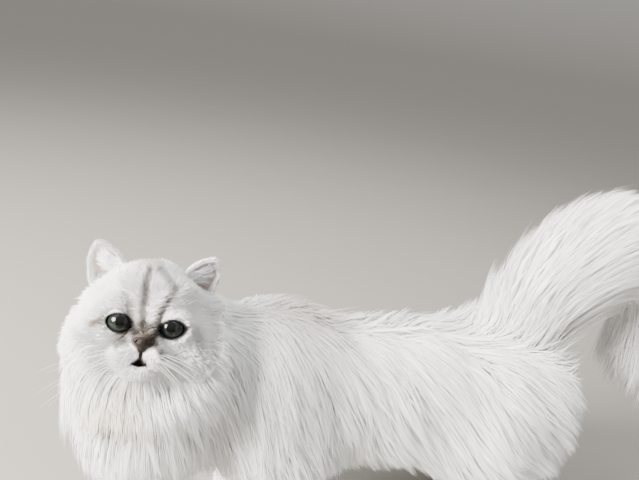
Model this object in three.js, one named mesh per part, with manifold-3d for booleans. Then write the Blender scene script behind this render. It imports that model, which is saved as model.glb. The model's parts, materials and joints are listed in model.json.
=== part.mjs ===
// A persian cat at life size, standing, with its head turned to its left.
// Millimetres, +Z up. The body points to -X and the cat's left side to -Y.
import * as THREE from 'three';
import { mergeVertices } from 'three/addons/utils/BufferGeometryUtils.js';
import Module from 'manifold-3d';

const wasm = await Module();
wasm.setup();

const at = (x, y, z) => new THREE.Vector3(x, y, z);

// Driving dimensions of the cat under its coat.
const WITHERS = at(-146, 0, 228);
const TAIL_ROOT = at(140, 0, 212);
const CHEST = at(-112, 0, 171);
const LOIN = at(20, 0, 173);
const CROUP = at(112, 0, 176);
const CHEST_RADIUS = 54;
const LOIN_RADIUS = 49;
const CROUP_RADIUS = 45;
const BODY_WIDTH = 0.87; // width over depth
const NECK_LOW = at(-142, -6, 194);
const NECK_HIGH = at(-226, -46, 238);
const FRONT_FOOT = at(-138, 43, 13);
const REAR_FOOT = at(134, 46, 13);
const SKULL = at(-251, -57, 260);
const HEAD_PITCH = 26; // degrees, up
const HEAD_YAW = 3.6; // degrees, seen from above, from straight to the left
const HEAD_ROLL = 7; // degrees, the cat's left ear down
const HEAD_TURN = new THREE.Euler(
  THREE.MathUtils.degToRad(-HEAD_PITCH),
  THREE.MathUtils.degToRad(HEAD_ROLL),
  THREE.MathUtils.degToRad(HEAD_YAW),
  'ZXY',
);
const FACING = at(0, -1, 0).applyEuler(HEAD_TURN);
const EYE = at(18.8, -33, 3);
const EYE_RADIUS = 11.5;
const EAR = at(36, 6, 38);
const GAP = 0.35; // between pieces that touch

const mirrored = (p) => at(p.x, -p.y, p.z);
const between = (a, b, share) => a.clone().lerp(b, share);
const limit = (x, low, high) => Math.min(Math.max(x, low), high);
const ease = (x, low, high) => {
  const share = limit((x - low) / (high - low), 0, 1);
  return share * share * (3 - 2 * share);
};

// Flesh is given as fields: about the distance from a point to the skin, negative inside.

// A rounded bar from a to b. wide is its size across Y as a share of its size along Z.
function bar(a, b, radiusA, radiusB, wide = 1) {
  const along = b.clone().sub(a);
  const square = Math.max(along.lengthSq(), 1e-6);
  return (p) => {
    const share = limit(p.clone().sub(a).dot(along) / square, 0, 1);
    const x = p.x - a.x - along.x * share;
    const y = (p.y - a.y - along.y * share) / wide;
    const z = p.z - a.z - along.z * share;
    const reach = Math.hypot(x, y, z);
    const slope = reach > 0 ? Math.hypot(x, y / wide, z) / reach : 1;
    return (reach - radiusA + (radiusA - radiusB) * share) / slope;
  };
}

function ball(centre, rx, ry, rz) {
  return (p) => {
    const x = (p.x - centre.x) / rx;
    const y = (p.y - centre.y) / ry;
    const z = (p.z - centre.z) / rz;
    const reach = Math.hypot(x, y, z);
    const slope = Math.hypot(x / rx, y / ry, z / rz);
    return slope > 0 ? (reach * (reach - 1)) / slope : -Math.min(rx, ry, rz);
  };
}

// The union of fields, with a fillet about as wide as soft.
function blend(soft, ...fields) {
  return (p) =>
    fields.map((field) => field(p)).reduce((a, b) => {
      const near = Math.max(soft - Math.abs(a - b), 0) / soft;
      return Math.min(a, b) - (near * near * soft) / 4;
    });
}

// What a shape from a, taken away with a fillet about as wide as soft, leaves of it.
function carve(soft, field, taken) {
  return (p) => {
    const a = field(p);
    const b = -taken(p);
    const near = Math.max(soft - Math.abs(a - b), 0) / soft;
    return Math.max(a, b) + (near * near * soft) / 4;
  };
}

const grown = (field, size) => (p) => field(p) - size;

// The same field on both sides of the mid plane, which is Y = 0 for the body and X = 0 for the head.
const bothSides = (field) => (p) => Math.min(field(p), field(mirrored(p)));
const bothCheeks = (field) => (p) => Math.min(field(p), field(at(-p.x, p.y, p.z)));

function outward(field, p) {
  const step = 0.5;
  const slope = (dx, dy, dz) =>
    field(at(p.x + dx, p.y + dy, p.z + dz)) - field(at(p.x - dx, p.y - dy, p.z - dz));
  return at(slope(step, 0, 0), slope(0, step, 0), slope(0, 0, step)).normalize();
}

// How far from centre, along direction, the field comes out of the flesh.
function reachOf(field, centre, direction) {
  const stride = 6;
  let low = 0;
  let high = stride;
  while (field(centre.clone().addScaledVector(direction, high)) < 0 && high < 200) {
    low = high;
    high += stride;
  }
  for (let i = 0; i < 18; i += 1) {
    const middle = (low + high) / 2;
    if (field(centre.clone().addScaledVector(direction, middle)) < 0) low = middle;
    else high = middle;
  }
  return high;
}

// Closed meshes.

function geometryOf(points, faces) {
  const geometry = new THREE.BufferGeometry();
  geometry.setAttribute(
    'position',
    new THREE.BufferAttribute(new Float32Array(points.flatMap((p) => [p.x, p.y, p.z])), 3),
  );
  geometry.setIndex(faces.flat());
  return geometry;
}

// A closed skin over rings of points of one count. An end is a point, or null for a flat end.
function loft(rings, first = null, last = null) {
  const sides = rings[0].length;
  const points = rings.flat();
  const faces = [];
  for (let i = 0; i + 1 < rings.length; i += 1) {
    for (let j = 0; j < sides; j += 1) {
      const a = i * sides + j;
      const b = i * sides + ((j + 1) % sides);
      faces.push([a, b, b + sides], [a, b + sides, a + sides]);
    }
  }
  const close = (start, end, turned) => {
    const face = (a, b, c) => faces.push(turned ? [a, c, b] : [a, b, c]);
    if (end) {
      points.push(end);
      const tip = points.length - 1;
      for (let j = 0; j < sides; j += 1) face(start + j, tip, start + ((j + 1) % sides));
      return;
    }
    for (let j = 0; j < Math.floor((sides - 1) / 2); j += 1) {
      const [a, b] = [start + j, start + j + 1];
      const [c, d] = [start + sides - 2 - j, start + sides - 1 - j];
      face(a, d, b);
      if (b !== c) face(b, d, c);
    }
  };
  close(0, first, false);
  close((rings.length - 1) * sides, last, true);
  return geometryOf(points, faces);
}

function solid(geometry) {
  const bare = geometry.clone();
  bare.deleteAttribute('normal');
  bare.deleteAttribute('uv');
  const merged = mergeVertices(bare, 1e-4);
  const made = new wasm.Manifold(
    new wasm.Mesh({
      numProp: 3,
      vertProperties: new Float32Array(merged.attributes.position.array),
      triVerts: new Uint32Array(merged.index.array),
    }),
  );
  if (made.volume() > 0) return made;
  const turned = new Uint32Array(merged.index.array);
  for (let i = 0; i < turned.length; i += 3) {
    [turned[i + 1], turned[i + 2]] = [turned[i + 2], turned[i + 1]];
  }
  return new wasm.Manifold(
    new wasm.Mesh({
      numProp: 3,
      vertProperties: new Float32Array(merged.attributes.position.array),
      triVerts: turned,
    }),
  );
}

const joined = (solids) => wasm.Manifold.union(solids);

function largest(made) {
  return made.decompose().reduce((a, b) => (b.volume() > a.volume() ? b : a));
}

// Moves every corner out until each face beside it has moved out by the size.
function swollen(geometry, size) {
  const places = geometry.attributes.position;
  const corner = (i) => new THREE.Vector3().fromBufferAttribute(places, i);
  const normals = Array.from({ length: places.count }, () => []);
  const index = geometry.index.array;
  let volume = 0;
  for (let i = 0; i < index.length; i += 3) {
    const [a, b, c] = [index[i], index[i + 1], index[i + 2]];
    const normal = corner(b).sub(corner(a)).cross(corner(c).sub(corner(a)));
    volume += normal.dot(corner(a));
    for (const j of [a, b, c]) normals[j].push(normal.clone().normalize());
  }
  const out = Math.sign(volume) * size;
  for (let i = 0; i < places.count; i += 1) {
    const move = at(0, 0, 0);
    for (let pass = 0; pass < 60; pass += 1) {
      for (const normal of normals[i]) {
        const short = (out - normal.dot(move)) * Math.sign(out);
        if (short > 0) move.addScaledVector(normal, short * Math.sign(out));
      }
    }
    const moved = corner(i).add(move);
    places.setXYZ(i, moved.x, moved.y, moved.z);
  }
  return geometry;
}

function ballSolid(centre, rx, ry, rz, sides, rings) {
  const geometry = new THREE.SphereGeometry(1, sides, rings);
  geometry.scale(rx, ry, rz);
  geometry.translate(centre.x, centre.y, centre.z);
  return solid(geometry);
}

// The skin of a field round a path, by rings of rays across it. Each end is flat, or round by some
// rings of rays that lean out to a pole.
function fleshSolid(field, path, stations, sides, roundFirst, roundLast) {
  const curve = new THREE.CatmullRomCurve3(path);
  const rings = [];
  const ray = (centre, direction) =>
    centre.clone().addScaledVector(direction, reachOf(field, centre, direction));
  const ring = (share, lean) => {
    const centre = curve.getPoint(share);
    const tangent = curve.getTangent(share);
    const side = Math.abs(tangent.z) > 0.8 ? at(1, 0, 0) : at(0, 0, 1);
    const across = new THREE.Vector3().crossVectors(tangent, side).normalize();
    const up = new THREE.Vector3().crossVectors(across, tangent);
    return Array.from({ length: sides }, (_, j) => {
      const turn = (2 * Math.PI * (j + 0.5)) / sides;
      const direction = up.clone().multiplyScalar(Math.cos(turn) * Math.cos(lean));
      direction.addScaledVector(across, Math.sin(turn) * Math.cos(lean));
      return ray(centre, direction.addScaledVector(tangent, Math.sin(lean)));
    });
  };
  const quarter = Math.PI / 2;
  for (let i = 1; i <= roundFirst; i += 1) rings.push(ring(0, quarter * (i / (roundFirst + 1) - 1)));
  for (let i = 0; i < stations; i += 1) rings.push(ring(i / (stations - 1), 0));
  for (let i = 1; i <= roundLast; i += 1) rings.push(ring(1, (quarter * i) / (roundLast + 1)));
  const pole = (share, sign) => ray(curve.getPoint(share), curve.getTangent(share).multiplyScalar(sign));
  return solid(loft(rings, roundFirst ? pole(0, -1) : null, roundLast ? pole(1, 1) : null));
}

// The skin of a field round one centre, by rings of rays at leans, in degrees, from an axis.
function starSolid(field, centre, axis, leans, sides) {
  const side = Math.abs(axis.z) > 0.8 ? at(1, 0, 0) : at(0, 0, 1);
  const across = new THREE.Vector3().crossVectors(axis, side).normalize();
  const up = new THREE.Vector3().crossVectors(across, axis);
  const ray = (turn, degrees) => {
    const lean = THREE.MathUtils.degToRad(degrees);
    const direction = axis.clone().multiplyScalar(Math.cos(lean));
    direction.addScaledVector(up, Math.cos(turn) * Math.sin(lean));
    direction.addScaledVector(across, Math.sin(turn) * Math.sin(lean));
    return centre.clone().addScaledVector(direction, reachOf(field, centre, direction));
  };
  const ring = (degrees) =>
    Array.from({ length: sides }, (_, j) => ray((2 * Math.PI * (j + 0.5)) / sides, degrees));
  return solid(loft(leans.map(ring), ray(0, 0), ray(0, 180)));
}

// Flesh of the body, in the body's frame.

const shoulder = bar(at(-132, 28, 202), at(-122, 42, 138), 18, 25);
const thigh = bar(at(104, 30, 190), at(92, 42, 142), 30, 31);
const torsoFlesh = blend(
  26,
  bar(CHEST, LOIN, CHEST_RADIUS, LOIN_RADIUS, BODY_WIDTH),
  bar(LOIN, CROUP, LOIN_RADIUS, CROUP_RADIUS, BODY_WIDTH),
  bar(at(-152, -3, 168), at(-130, 0, 160), 38, 40),
  bar(at(-104, 0, 194), at(-164, -12, 207), 30, 28),
  bothSides(shoulder),
  bothSides(thigh),
);

const frontLegFlesh = blend(
  14,
  bar(at(-112, 41, 150), at(-112, 43, 112), 21, 18),
  bar(at(-112, 43, 112), at(-128, 43, 46), 17, 13),
  bar(at(-128, 43, 46), at(-130, 43, 22), 13, 13),
);
const rearLegFlesh = blend(
  14,
  bar(at(98, 41, 150), at(98, 48, 118), 30, 26),
  bar(at(98, 48, 118), at(168, 46, 64), 24, 12),
  bar(at(168, 46, 64), at(156, 46, 22), 12, 12),
);
const FRONT_PATH = [at(-112, 41, 150), at(-112, 43, 112), at(-128, 43, 46), at(-131, 43, 18)];
const REAR_PATH = [at(98, 41, 150), at(104, 48, 114), at(166, 46, 66), at(156, 46, 20)];
const LIMBS = {
  leg_front_left: { flesh: frontLegFlesh, path: FRONT_PATH, foot: FRONT_FOOT, side: -1 },
  leg_front_right: { flesh: frontLegFlesh, path: FRONT_PATH, foot: FRONT_FOOT, side: 1 },
  leg_rear_left: { flesh: rearLegFlesh, path: REAR_PATH, foot: REAR_FOOT, side: -1 },
  leg_rear_right: { flesh: rearLegFlesh, path: REAR_PATH, foot: REAR_FOOT, side: 1 },
};
const LIMB_NAMES = Object.keys(LIMBS);
const onSide = (name, p) => (LIMBS[name].side > 0 ? p : mirrored(p));
const legSide = (name, p) => LIMBS[name].flesh(onSide(name, p));
const limbPath = (name) => LIMBS[name].path.map((p) => onSide(name, p));

// The tail rises from its root, arches over to the back and hangs down behind.
const tailPath = [
  TAIL_ROOT,
  at(147, 2, 268),
  at(180, 5, 318),
  at(226, 8, 343),
  at(274, 11, 333),
  at(306, 13, 296),
  at(318, 14, 246),
];

// The coat's outer form, over the tips of its hair, and how deep it is over the flesh. It hangs
// deepest under the belly and behind the thighs and lies shallowest along the back.

function torsoDepth(p) {
  const rise = (p.z - CHEST.z) / Math.max(Math.hypot(p.y, p.z - CHEST.z), 1);
  const back = 6 * Math.max(rise, 0) ** 2;
  const belly = 6 * Math.max(-rise, 0);
  return 33 - back + belly + 22 * ease(p.x, 112, 185);
}
const torsoForm = (p) => torsoFlesh(p) - torsoDepth(p);

// The ruff stands round the neck and hangs over the chest, and leaves the face free.
const NECK_DEPTH = 40;
const faceSpace = bar(
  SKULL.clone().addScaledVector(FACING, 6), SKULL.clone().addScaledVector(FACING, 150), 40, 140,
);
const ruffForm = blend(
  24,
  bar(at(-192, -27, 208), at(-214, -38, 222), 50, 58),
  ball(at(-237, -42, 226), 80, 62, 60),
  ball(at(-242, -50, 182), 80, 68, 90),
);

const legDepth = (p) => 7 + 6 * ease(p.z, 30, 100);

// The tail's coat is fullest over the middle of the bone.
const TAIL_DEPTH = 58;
const TAIL_STEPS = 24;
const tailCurve = new THREE.CatmullRomCurve3(tailPath);
function tailRadius(share) {
  const bone = 10 - 3 * share;
  return bone + TAIL_DEPTH * (0.86 - 0.16 * share + 0.18 * Math.sin(0.92 * Math.PI * share));
}
const TAIL_SAMPLES = Array.from({ length: TAIL_STEPS + 1 }, (_, i) => ({
  point: tailCurve.getPoint(i / TAIL_STEPS),
  along: tailCurve.getTangent(i / TAIL_STEPS),
  radius: tailRadius(i / TAIL_STEPS),
}));
const tailForm = blend(
  20,
  (p) => Math.min(...TAIL_SAMPLES.map(({ point, radius }) => point.distanceTo(p) - radius)),
  ball(at(318, 13, 208), 50, 46, 110),
);

// Flesh of the head, in the head's own frame: the face looks to -Y, and X runs to the cat's left.
const headFlesh = carve(
  4,
  blend(
    9,
    ball(at(0, 4, 9), 42, 42, 42),
    ball(at(0, -18, 20), 31, 25, 25),
    bothCheeks(ball(at(27, -12, -12), 24, 25, 24)),
    ball(at(0, -12, -22), 27, 27, 16),
    bothCheeks(ball(at(22, -20, 3), 18, 19, 17)),
    bothCheeks(ball(at(8.5, -38, -19), 11, 12, 9.5)),
    ball(at(0, -36, -28), 11, 11, 7.5),
    bar(at(0, -34, 8), at(0, -43, -6), 8, 8),
  ),
  bothCheeks(ball(at(19.4, -52, 3), 13, 9.5, 10.5)),
);

// The coat of the head is short on the face and long from the cheeks back.
const headDepth = (p) => 8 + 11 * ease(p.y, -28, 4) * (1 - ease(p.z, 18, 42));
const headForm = (p) => headFlesh(p) - headDepth(p);
const headSkin = (p) => headFlesh(p) - (headDepth(p) - 8) / 2;

// Rings of rays round the face's axis, dense over the face and wide behind it.
const FACE_LEANS = Array.from({ length: 12 }, (_, i) => 5.3 * (i + 1));
const BACK_LEANS = Array.from({ length: 5 }, (_, i) => 63.6 + (116.4 * (i + 1)) / 6);
const headCore = (grow = 0) =>
  starSolid(grown(headSkin, grow), at(0, 0, 0), at(0, -1, 0), [...FACE_LEANS, ...BACK_LEANS], 26);

// The head as the neck and the ears meet it, with no more of the face than its outline.
const headBack = (grow = 0) =>
  starSolid(grown(headSkin, 1.8 * grow), at(0, 0, 0), at(0, -1, 0), [16, 32, 48, 63.6, ...BACK_LEANS], 26);

// A lid swells over each eye, and an almond opening through it shows the eye.
const LID_RADIUS = EYE_RADIUS + 1.3;
const EYE_OPENING = { width: 20, height: 15, slant: 8, outward: 1, upward: -3 };

function eyeSolid(grow = 0) {
  const globe = ballSolid(at(0, 0, 0), EYE_RADIUS + grow, EYE_RADIUS + grow, EYE_RADIUS + grow, 12, 7);
  return globe.translate([EYE.x, EYE.y, EYE.z]);
}

function eyeOpening() {
  const { width, height, slant, outward: out, upward } = EYE_OPENING;
  const points = 12;
  const outline = Array.from({ length: points }, (_, i) => {
    const turn = (2 * Math.PI * i) / points;
    const narrow = 1 - 0.12 * Math.abs(Math.cos(turn)) ** 3;
    return new THREE.Vector2((Math.cos(turn) * width) / 2, (Math.sin(turn) * height * narrow) / 2);
  });
  const prism = new THREE.ExtrudeGeometry(new THREE.Shape(outline), { depth: 30, bevelEnabled: false });
  prism.rotateZ(THREE.MathUtils.degToRad(slant));
  prism.rotateX(THREE.MathUtils.degToRad(90 - upward));
  prism.rotateZ(THREE.MathUtils.degToRad(out));
  prism.translate(EYE.x, EYE.y, EYE.z);
  return solid(prism);
}

// The nose leather: a small wide wedge with a comma of nostril on each side.
const NOSE = at(0, -47, -8);
const noseFlesh = blend(
  3,
  ball(NOSE, 7.5, 5, 4.5),
  bar(NOSE, at(0, -48, -13.5), 3.4, 2.2),
);

function noseSolid(grow = 0) {
  const field = (p) => noseFlesh(p) - grow;
  return fleshSolid(field, [at(0, -47, -6), at(0, -47.4, -10)], 3, 9, 1, 2);
}

function tubeSolid(path, radius, sides, steps) {
  const section = Array.from({ length: sides }, (_, i) => {
    const turn = (2 * Math.PI * i) / sides;
    return new THREE.Vector2(Math.cos(turn) * radius, Math.sin(turn) * radius);
  });
  const extrudePath = new THREE.CatmullRomCurve3(path);
  return solid(new THREE.ExtrudeGeometry(new THREE.Shape(section), { extrudePath, steps }));
}

const mirroredX = (made) => made.mirror([1, 0, 0]);

// The nostril opens at the side of the nose and turns in below it.
function nostril() {
  return tubeSolid([at(3, -53, -8), at(4, -49, -8.6), at(6.4, -46, -9.6)], 1.3, 5, 3);
}

// A point of the face's skin, seen from the front, and how far in from it.
const onFace = (x, z, deep = 0) =>
  at(x, deep - reachOf(headFlesh, at(x, 0, z), at(0, -1, 0)), z);

// The groove under the nose, the parted lips below it and the line of the mouth on each side.
function mouth() {
  const groove = tubeSolid([onFace(0, -13), onFace(0, -16), onFace(0, -20)], 1.1, 5, 3);
  const line = tubeSolid([onFace(4, -24), onFace(9, -27), onFace(15, -27.5), onFace(21, -24)], 1.2, 5, 6);
  const gape = new THREE.Shape([
    new THREE.Vector2(0, -19), new THREE.Vector2(-5.5, -25), new THREE.Vector2(0, -26.5),
    new THREE.Vector2(5.5, -25),
  ]);
  const notch = new THREE.ExtrudeGeometry(gape, { depth: 20, bevelEnabled: false });
  notch.rotateX(Math.PI / 2);
  notch.translate(0, onFace(0, -23, 5).y, 0);
  return joined([groove, line, mirroredX(line), solid(notch)]);
}

function headSolid() {
  const lid = ballSolid(EYE, LID_RADIUS, LID_RADIUS, LID_RADIUS, 12, 7);
  const flesh = joined([headCore(), lid, mirroredX(lid)]);
  const openings = joined([eyeOpening(), eyeSolid(GAP)]);
  return flesh.subtract(joined([openings, mirroredX(openings), mouth(), noseSolid(GAP)]));
}
const eyeRoom = () => joined([eyeSolid(GAP), mirroredX(eyeSolid(GAP))]);

// A cupped ear: rings across it from the root to the tip, each a crescent open to the front.
const EAR_HEIGHT = 39;
const EAR_SINK = 10; // of its height, in the head
const EAR_WIDTH = 33;
const EAR_WALL = 2.4;
const EAR_LEAN = 19; // degrees outward
const EAR_TURN = 24; // degrees, its mouth from straight ahead to outward
const EAR_TILT = 14; // degrees forward

function earSolid(grow = 0) {
  const columns = 6;
  const rows = 7;
  const rings = [];
  for (let i = 0; i < rows; i += 1) {
    const share = i / rows;
    const width = EAR_WIDTH * (1 - share * share) ** 0.65;
    const cup = 1.25 - 0.75 * share;
    const radius = width / 2 / Math.sin(cup);
    const wall = EAR_WALL * (1 - 0.35 * share) + 2 * grow;
    const wrap = cup + grow / radius;
    const arc = (size, turned) =>
      Array.from({ length: columns }, (_, j) => {
        const turn = wrap * (1 - (2 * (turned ? columns - 1 - j : j)) / (columns - 1));
        return at(
          size * Math.sin(turn),
          size * Math.cos(turn) - radius * Math.cos(cup) - grow,
          EAR_HEIGHT * share - EAR_SINK - (i === 0 ? grow : 0),
        );
      });
    rings.push([...arc(radius, false), ...arc(radius + wall, true)]);
  }
  const ear = loft(rings, null, at(0, EAR_WALL / 2, EAR_HEIGHT - EAR_SINK + grow));
  ear.rotateX(THREE.MathUtils.degToRad(EAR_TILT));
  ear.rotateZ(THREE.MathUtils.degToRad(EAR_TURN));
  ear.rotateY(THREE.MathUtils.degToRad(EAR_LEAN));
  ear.translate(EAR.x, EAR.y, EAR.z);
  return solid(ear);
}

const outOfHead = new THREE.Matrix4().compose(
  SKULL, new THREE.Quaternion().setFromEuler(HEAD_TURN), at(1, 1, 1),
);
const intoHead = outOfHead.clone().invert();
const headSide = (p) => headFlesh(p.clone().applyMatrix4(intoHead));

// Cores: the flesh with the inner half of the coat.

const mirroredY = (made) => made.mirror([0, 1, 0]);

function floor() {
  const slab = new THREE.BoxGeometry(1200, 600, 100);
  slab.translate(0, 0, -50);
  return solid(slab);
}

function paw(foot, grow) {
  const pads = [
    ballSolid(at(foot.x - 1, foot.y, foot.z + 2), 26 + grow, 19 + grow, 15 + grow, 8, 5),
  ];
  for (const [x, y] of [[-18, -12.5], [-24, -4.6], [-24, 4.6], [-18, 12.5]]) {
    pads.push(ballSolid(at(foot.x + x, foot.y + y, 10), 10 + grow, 6.5 + grow, 9.5 + grow, 6, 3));
  }
  return joined(pads);
}

function legCore(name, grow) {
  const { flesh, path, foot, side } = LIMBS[name];
  const field = (p) => flesh(p) - legDepth(p) / 2 - grow;
  const whole = joined([fleshSolid(field, path, 6, 8, 0, 1), paw(foot, grow)]);
  return side > 0 ? whole : mirroredY(whole);
}

const torsoCoreForm = (p) => torsoForm(p) + torsoDepth(p) / 2;
const torsoCore = (grow) =>
  fleshSolid(grown(torsoCoreForm, grow), [CHEST, LOIN, CROUP], 7, 16, 2, 2);

const RUFF_CENTRE = at(-214, -40, 208);
const NECK_LEANS = Array.from({ length: 9 }, (_, i) => 18 * (i + 1));
const neckCoreForm = (p) => Math.max(ruffForm(p) + NECK_DEPTH / 2, -faceSpace(p));
const neckCore = (grow) =>
  starSolid(grown(neckCoreForm, grow), RUFF_CENTRE, at(-1, 0, 0), NECK_LEANS, 16);

const tailAt = (share) => TAIL_SAMPLES[Math.round(share * TAIL_STEPS)];

// A length of the tail, cut square across its bone at both ends.
const TAIL_JOINS = [0, 0.34, 0.68, 1];
const tailCoreForm = (p) =>
  Math.min(...TAIL_SAMPLES.map(({ point, radius }) => point.distanceTo(p) - radius / 2));
const TAIL_LEANS = Array.from({ length: 8 }, (_, i) => 20 * (i + 1));
function tailCore(part, grow) {
  const [first, last] = [TAIL_JOINS[part], TAIL_JOINS[part + 1]];
  const middle = (first + last) / 2;
  const whole = starSolid(
    grown(tailCoreForm, grow), tailCurve.getPoint(middle), tailCurve.getTangent(middle), TAIL_LEANS, 12,
  );
  const beyond = (share, sign) => {
    const slab = new THREE.BoxGeometry(400, 400, 200);
    slab.translate(0, 0, 100 - GAP / 2 + grow);
    const way = tailCurve.getTangent(share).multiplyScalar(sign);
    slab.applyQuaternion(new THREE.Quaternion().setFromUnitVectors(at(0, 0, 1), way));
    const centre = tailCurve.getPoint(share);
    return solid(slab.translate(centre.x, centre.y, centre.z));
  };
  const cuts = [];
  if (part > 0) cuts.push(beyond(first, -1));
  if (part < 2) cuts.push(beyond(last, 1));
  return whole.subtract(joined(cuts));
}

// Locks: flat, tapering, lying along the coat from a root sunk in the core to the coat's outer form.
// Each shape gives places along a lock, as shares of its length, with the share of its width there.

const SHORT_LOCK = [[0, 0.62], [0.36, 1], [0.74, 0.68]];
const LONG_LOCK = [[0, 0.6], [0.3, 1], [0.6, 0.9], [0.85, 0.56]];
const LOCK_STEPS = 14;
const ROOT_DEPTH = 9; // of a lock's root under the skin of its core

// Even draws between -1 and 1, the same ones every time.
function draws(seed) {
  let state = seed;
  return () => {
    state = (Math.imul(state, 1664525) + 1013904223) >>> 0;
    return state / 2147483648 - 1;
  };
}

// The middle line of a lock. It follows the lie, never dips deeper than its place in the coat and
// ends where it reaches the outer form.
function lockLine(coat, root, length, turn, curl, stop) {
  const line = [root.clone()];
  const deep = -coat.form(root);
  let spot = root.clone();
  for (let i = 1; i <= LOCK_STEPS; i += 1) {
    const share = i / LOCK_STEPS;
    const out = outward(coat.form, spot);
    const along = coat.lie(spot, out);
    along.applyAxisAngle(out, turn + curl * Math.sin(Math.PI * 1.5 * share));
    const inward = along.dot(out);
    if (inward < 0) along.addScaledVector(out, -inward);
    spot = spot.clone().addScaledVector(along.normalize(), length / LOCK_STEPS);
    const place = stop - (deep + stop) * (1 - share) ** coat.rise;
    const height = coat.form(spot);
    const kept = Math.max(place, Math.min(height, stop));
    spot.addScaledVector(outward(coat.form, spot), kept - height);
    line.push(spot);
    if (coat.form(spot) >= stop && share > 0.4) break;
  }
  return line;
}

// Each ring across a lock has its two edges and a ridge between them, and turns little on the next.
// A lock grown by a size cuts others clear of it. Where a sharp bend makes the grown one miss a part
// of the lock, copies moved by the size each way cover it.
const LEAST_TURN_SHARE = 0.8;
function lockSolid(coat, line, width, ridge, grow) {
  const last = line.length - 1;
  const spot = (share) => {
    const place = limit(share, 0, 1) * last;
    const i = Math.min(Math.floor(place), last - 1);
    return between(line[i], line[i + 1], place - i);
  };
  let before = null;
  const rings = coat.shape.map(([share, taper]) => {
    const centre = spot(share);
    const along = spot(share + 0.08).sub(spot(share - 0.08)).normalize();
    const out = outward(coat.form, centre);
    let across = new THREE.Vector3().crossVectors(out, along).normalize();
    if (before && across.dot(before) < LEAST_TURN_SHARE) {
      across = before.addScaledVector(along, -before.dot(along)).normalize();
    }
    before = across.clone();
    const up = new THREE.Vector3().crossVectors(along, across);
    const half = (width / 2) * taper;
    const thick = coat.thick * (1 - 0.62 * share);
    const corner = (side, height) =>
      centre.clone().addScaledVector(across, side).addScaledVector(up, height);
    return [
      corner(half, -thick / 3), corner(half * ridge, (thick * 2) / 3), corner(-half, -thick / 3),
    ];
  });
  const lock = solid(loft(rings, null, spot(1)));
  if (grow === 0) return lock;
  const around = solid(swollen(loft(rings, null, spot(1)), grow));
  if (lock.subtract(around).volume() < 0.001) return around;
  const moved = [-grow, grow].flatMap((step) => [[step, 0, 0], [0, step, 0], [0, 0, step]]);
  return joined([around, ...moved.map((move) => lock.translate(move))]);
}

// Roots are spread by a golden angle spiral: share runs along the part, angle round it.
const GOLDEN = Math.PI * (3 - Math.sqrt(5));

function locks(coat, grow) {
  const made = [];
  for (let i = 0; i < coat.count; i += 1) {
    const draw = draws(coat.seed + 7919 * i);
    draw();
    const share = limit((i + 0.5 + 0.4 * draw()) / coat.count, 0, 1);
    const root = coat.root(share, i * GOLDEN + 0.12 * draw());
    const [turn, curl, long, wide, high, ridge] = Array.from({ length: 6 }, draw);
    if (!root) continue;
    const scale = coat.scale ? coat.scale(root) : 1;
    const line = lockLine(
      coat, root, coat.length * scale * (1 + 0.16 * long), 0.16 * turn, 0.32 * curl, 5 * high,
    );
    made.push(lockSolid(coat, line, coat.width * scale * (1 + 0.15 * wide), 0.35 * ridge, grow));
  }
  return made;
}

// The lie of the coat: the way the hair points at a place.

const down = at(0, 0, -1);
const blendLie = (...parts) =>
  parts.reduce((sum, [way, weight]) => sum.addScaledVector(way, weight), at(0, 0, 0));

const torsoLie = (p) => {
  const back = 0.32 + 0.62 * ease(p.x, -130, 120);
  const side = 0.22 - 0.06 * ease(p.z, 205, 240);
  return at(back, side * Math.sign(p.y), -0.85);
};

const NECK_BACK = NECK_LOW.clone().sub(NECK_HIGH).normalize();
const ruffLie = (p) => {
  const spread = p.clone().sub(SKULL);
  spread.addScaledVector(FACING, -spread.dot(FACING)).normalize();
  return blendLie([down, 0.9], [spread, 0.35], [NECK_BACK, 0.22]);
};

const nearestTail = (p) =>
  TAIL_SAMPLES.reduce((a, b) => (b.point.distanceTo(p) < a.point.distanceTo(p) ? b : a));
const tailLie = (p) => {
  const { point, along } = nearestTail(p);
  const hang = 0.35 * ease(p.x, 200, 300);
  return blendLie([along, 1], [p.clone().sub(point).normalize(), 0.26], [down, hang]);
};

const legLie = () => at(0.28, 0, -1);

// Where a ray from a centre comes to a depth under a form.
const rootAt = (form, depth, centre, direction) =>
  centre.clone().addScaledVector(direction, reachOf((p) => form(p) + depth, centre, direction));

// A coat: its outer form, its lie, the count and sizes of its locks, how fast they rise to the outer
// form, and the root of a lock for a share along the part and a turn round it, or null for none.

const TORSO_COAT = {
  form: torsoForm,
  lie: torsoLie,
  shape: SHORT_LOCK,
  count: 72,
  seed: 13,
  length: 92,
  width: 54,
  thick: 9,
  rise: 2.3,
  root(share, angle) {
    const x = CHEST.x - 84 + (CROUP.x - CHEST.x + 204) * share;
    const centre = at(limit(x, CHEST.x, CROUP.x), 0, CHEST.z);
    const lean = limit((x - centre.x) / (x < 0 ? 90 : 124), -0.9, 0.96);
    const upright = Math.sqrt(1 - lean * lean);
    const turn = angle - 0.5 * Math.sin(angle);
    const direction = at(lean, Math.sin(turn) * upright, Math.cos(turn) * upright);
    const root = rootAt(torsoCoreForm, ROOT_DEPTH, centre, direction);
    if (ruffForm(root) < -10 || tailCoreForm(root) < -6) return null;
    return LIMB_NAMES.some((name) => legSide(name, root) < 12) && root.z < 132 ? null : root;
  },
};

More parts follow.
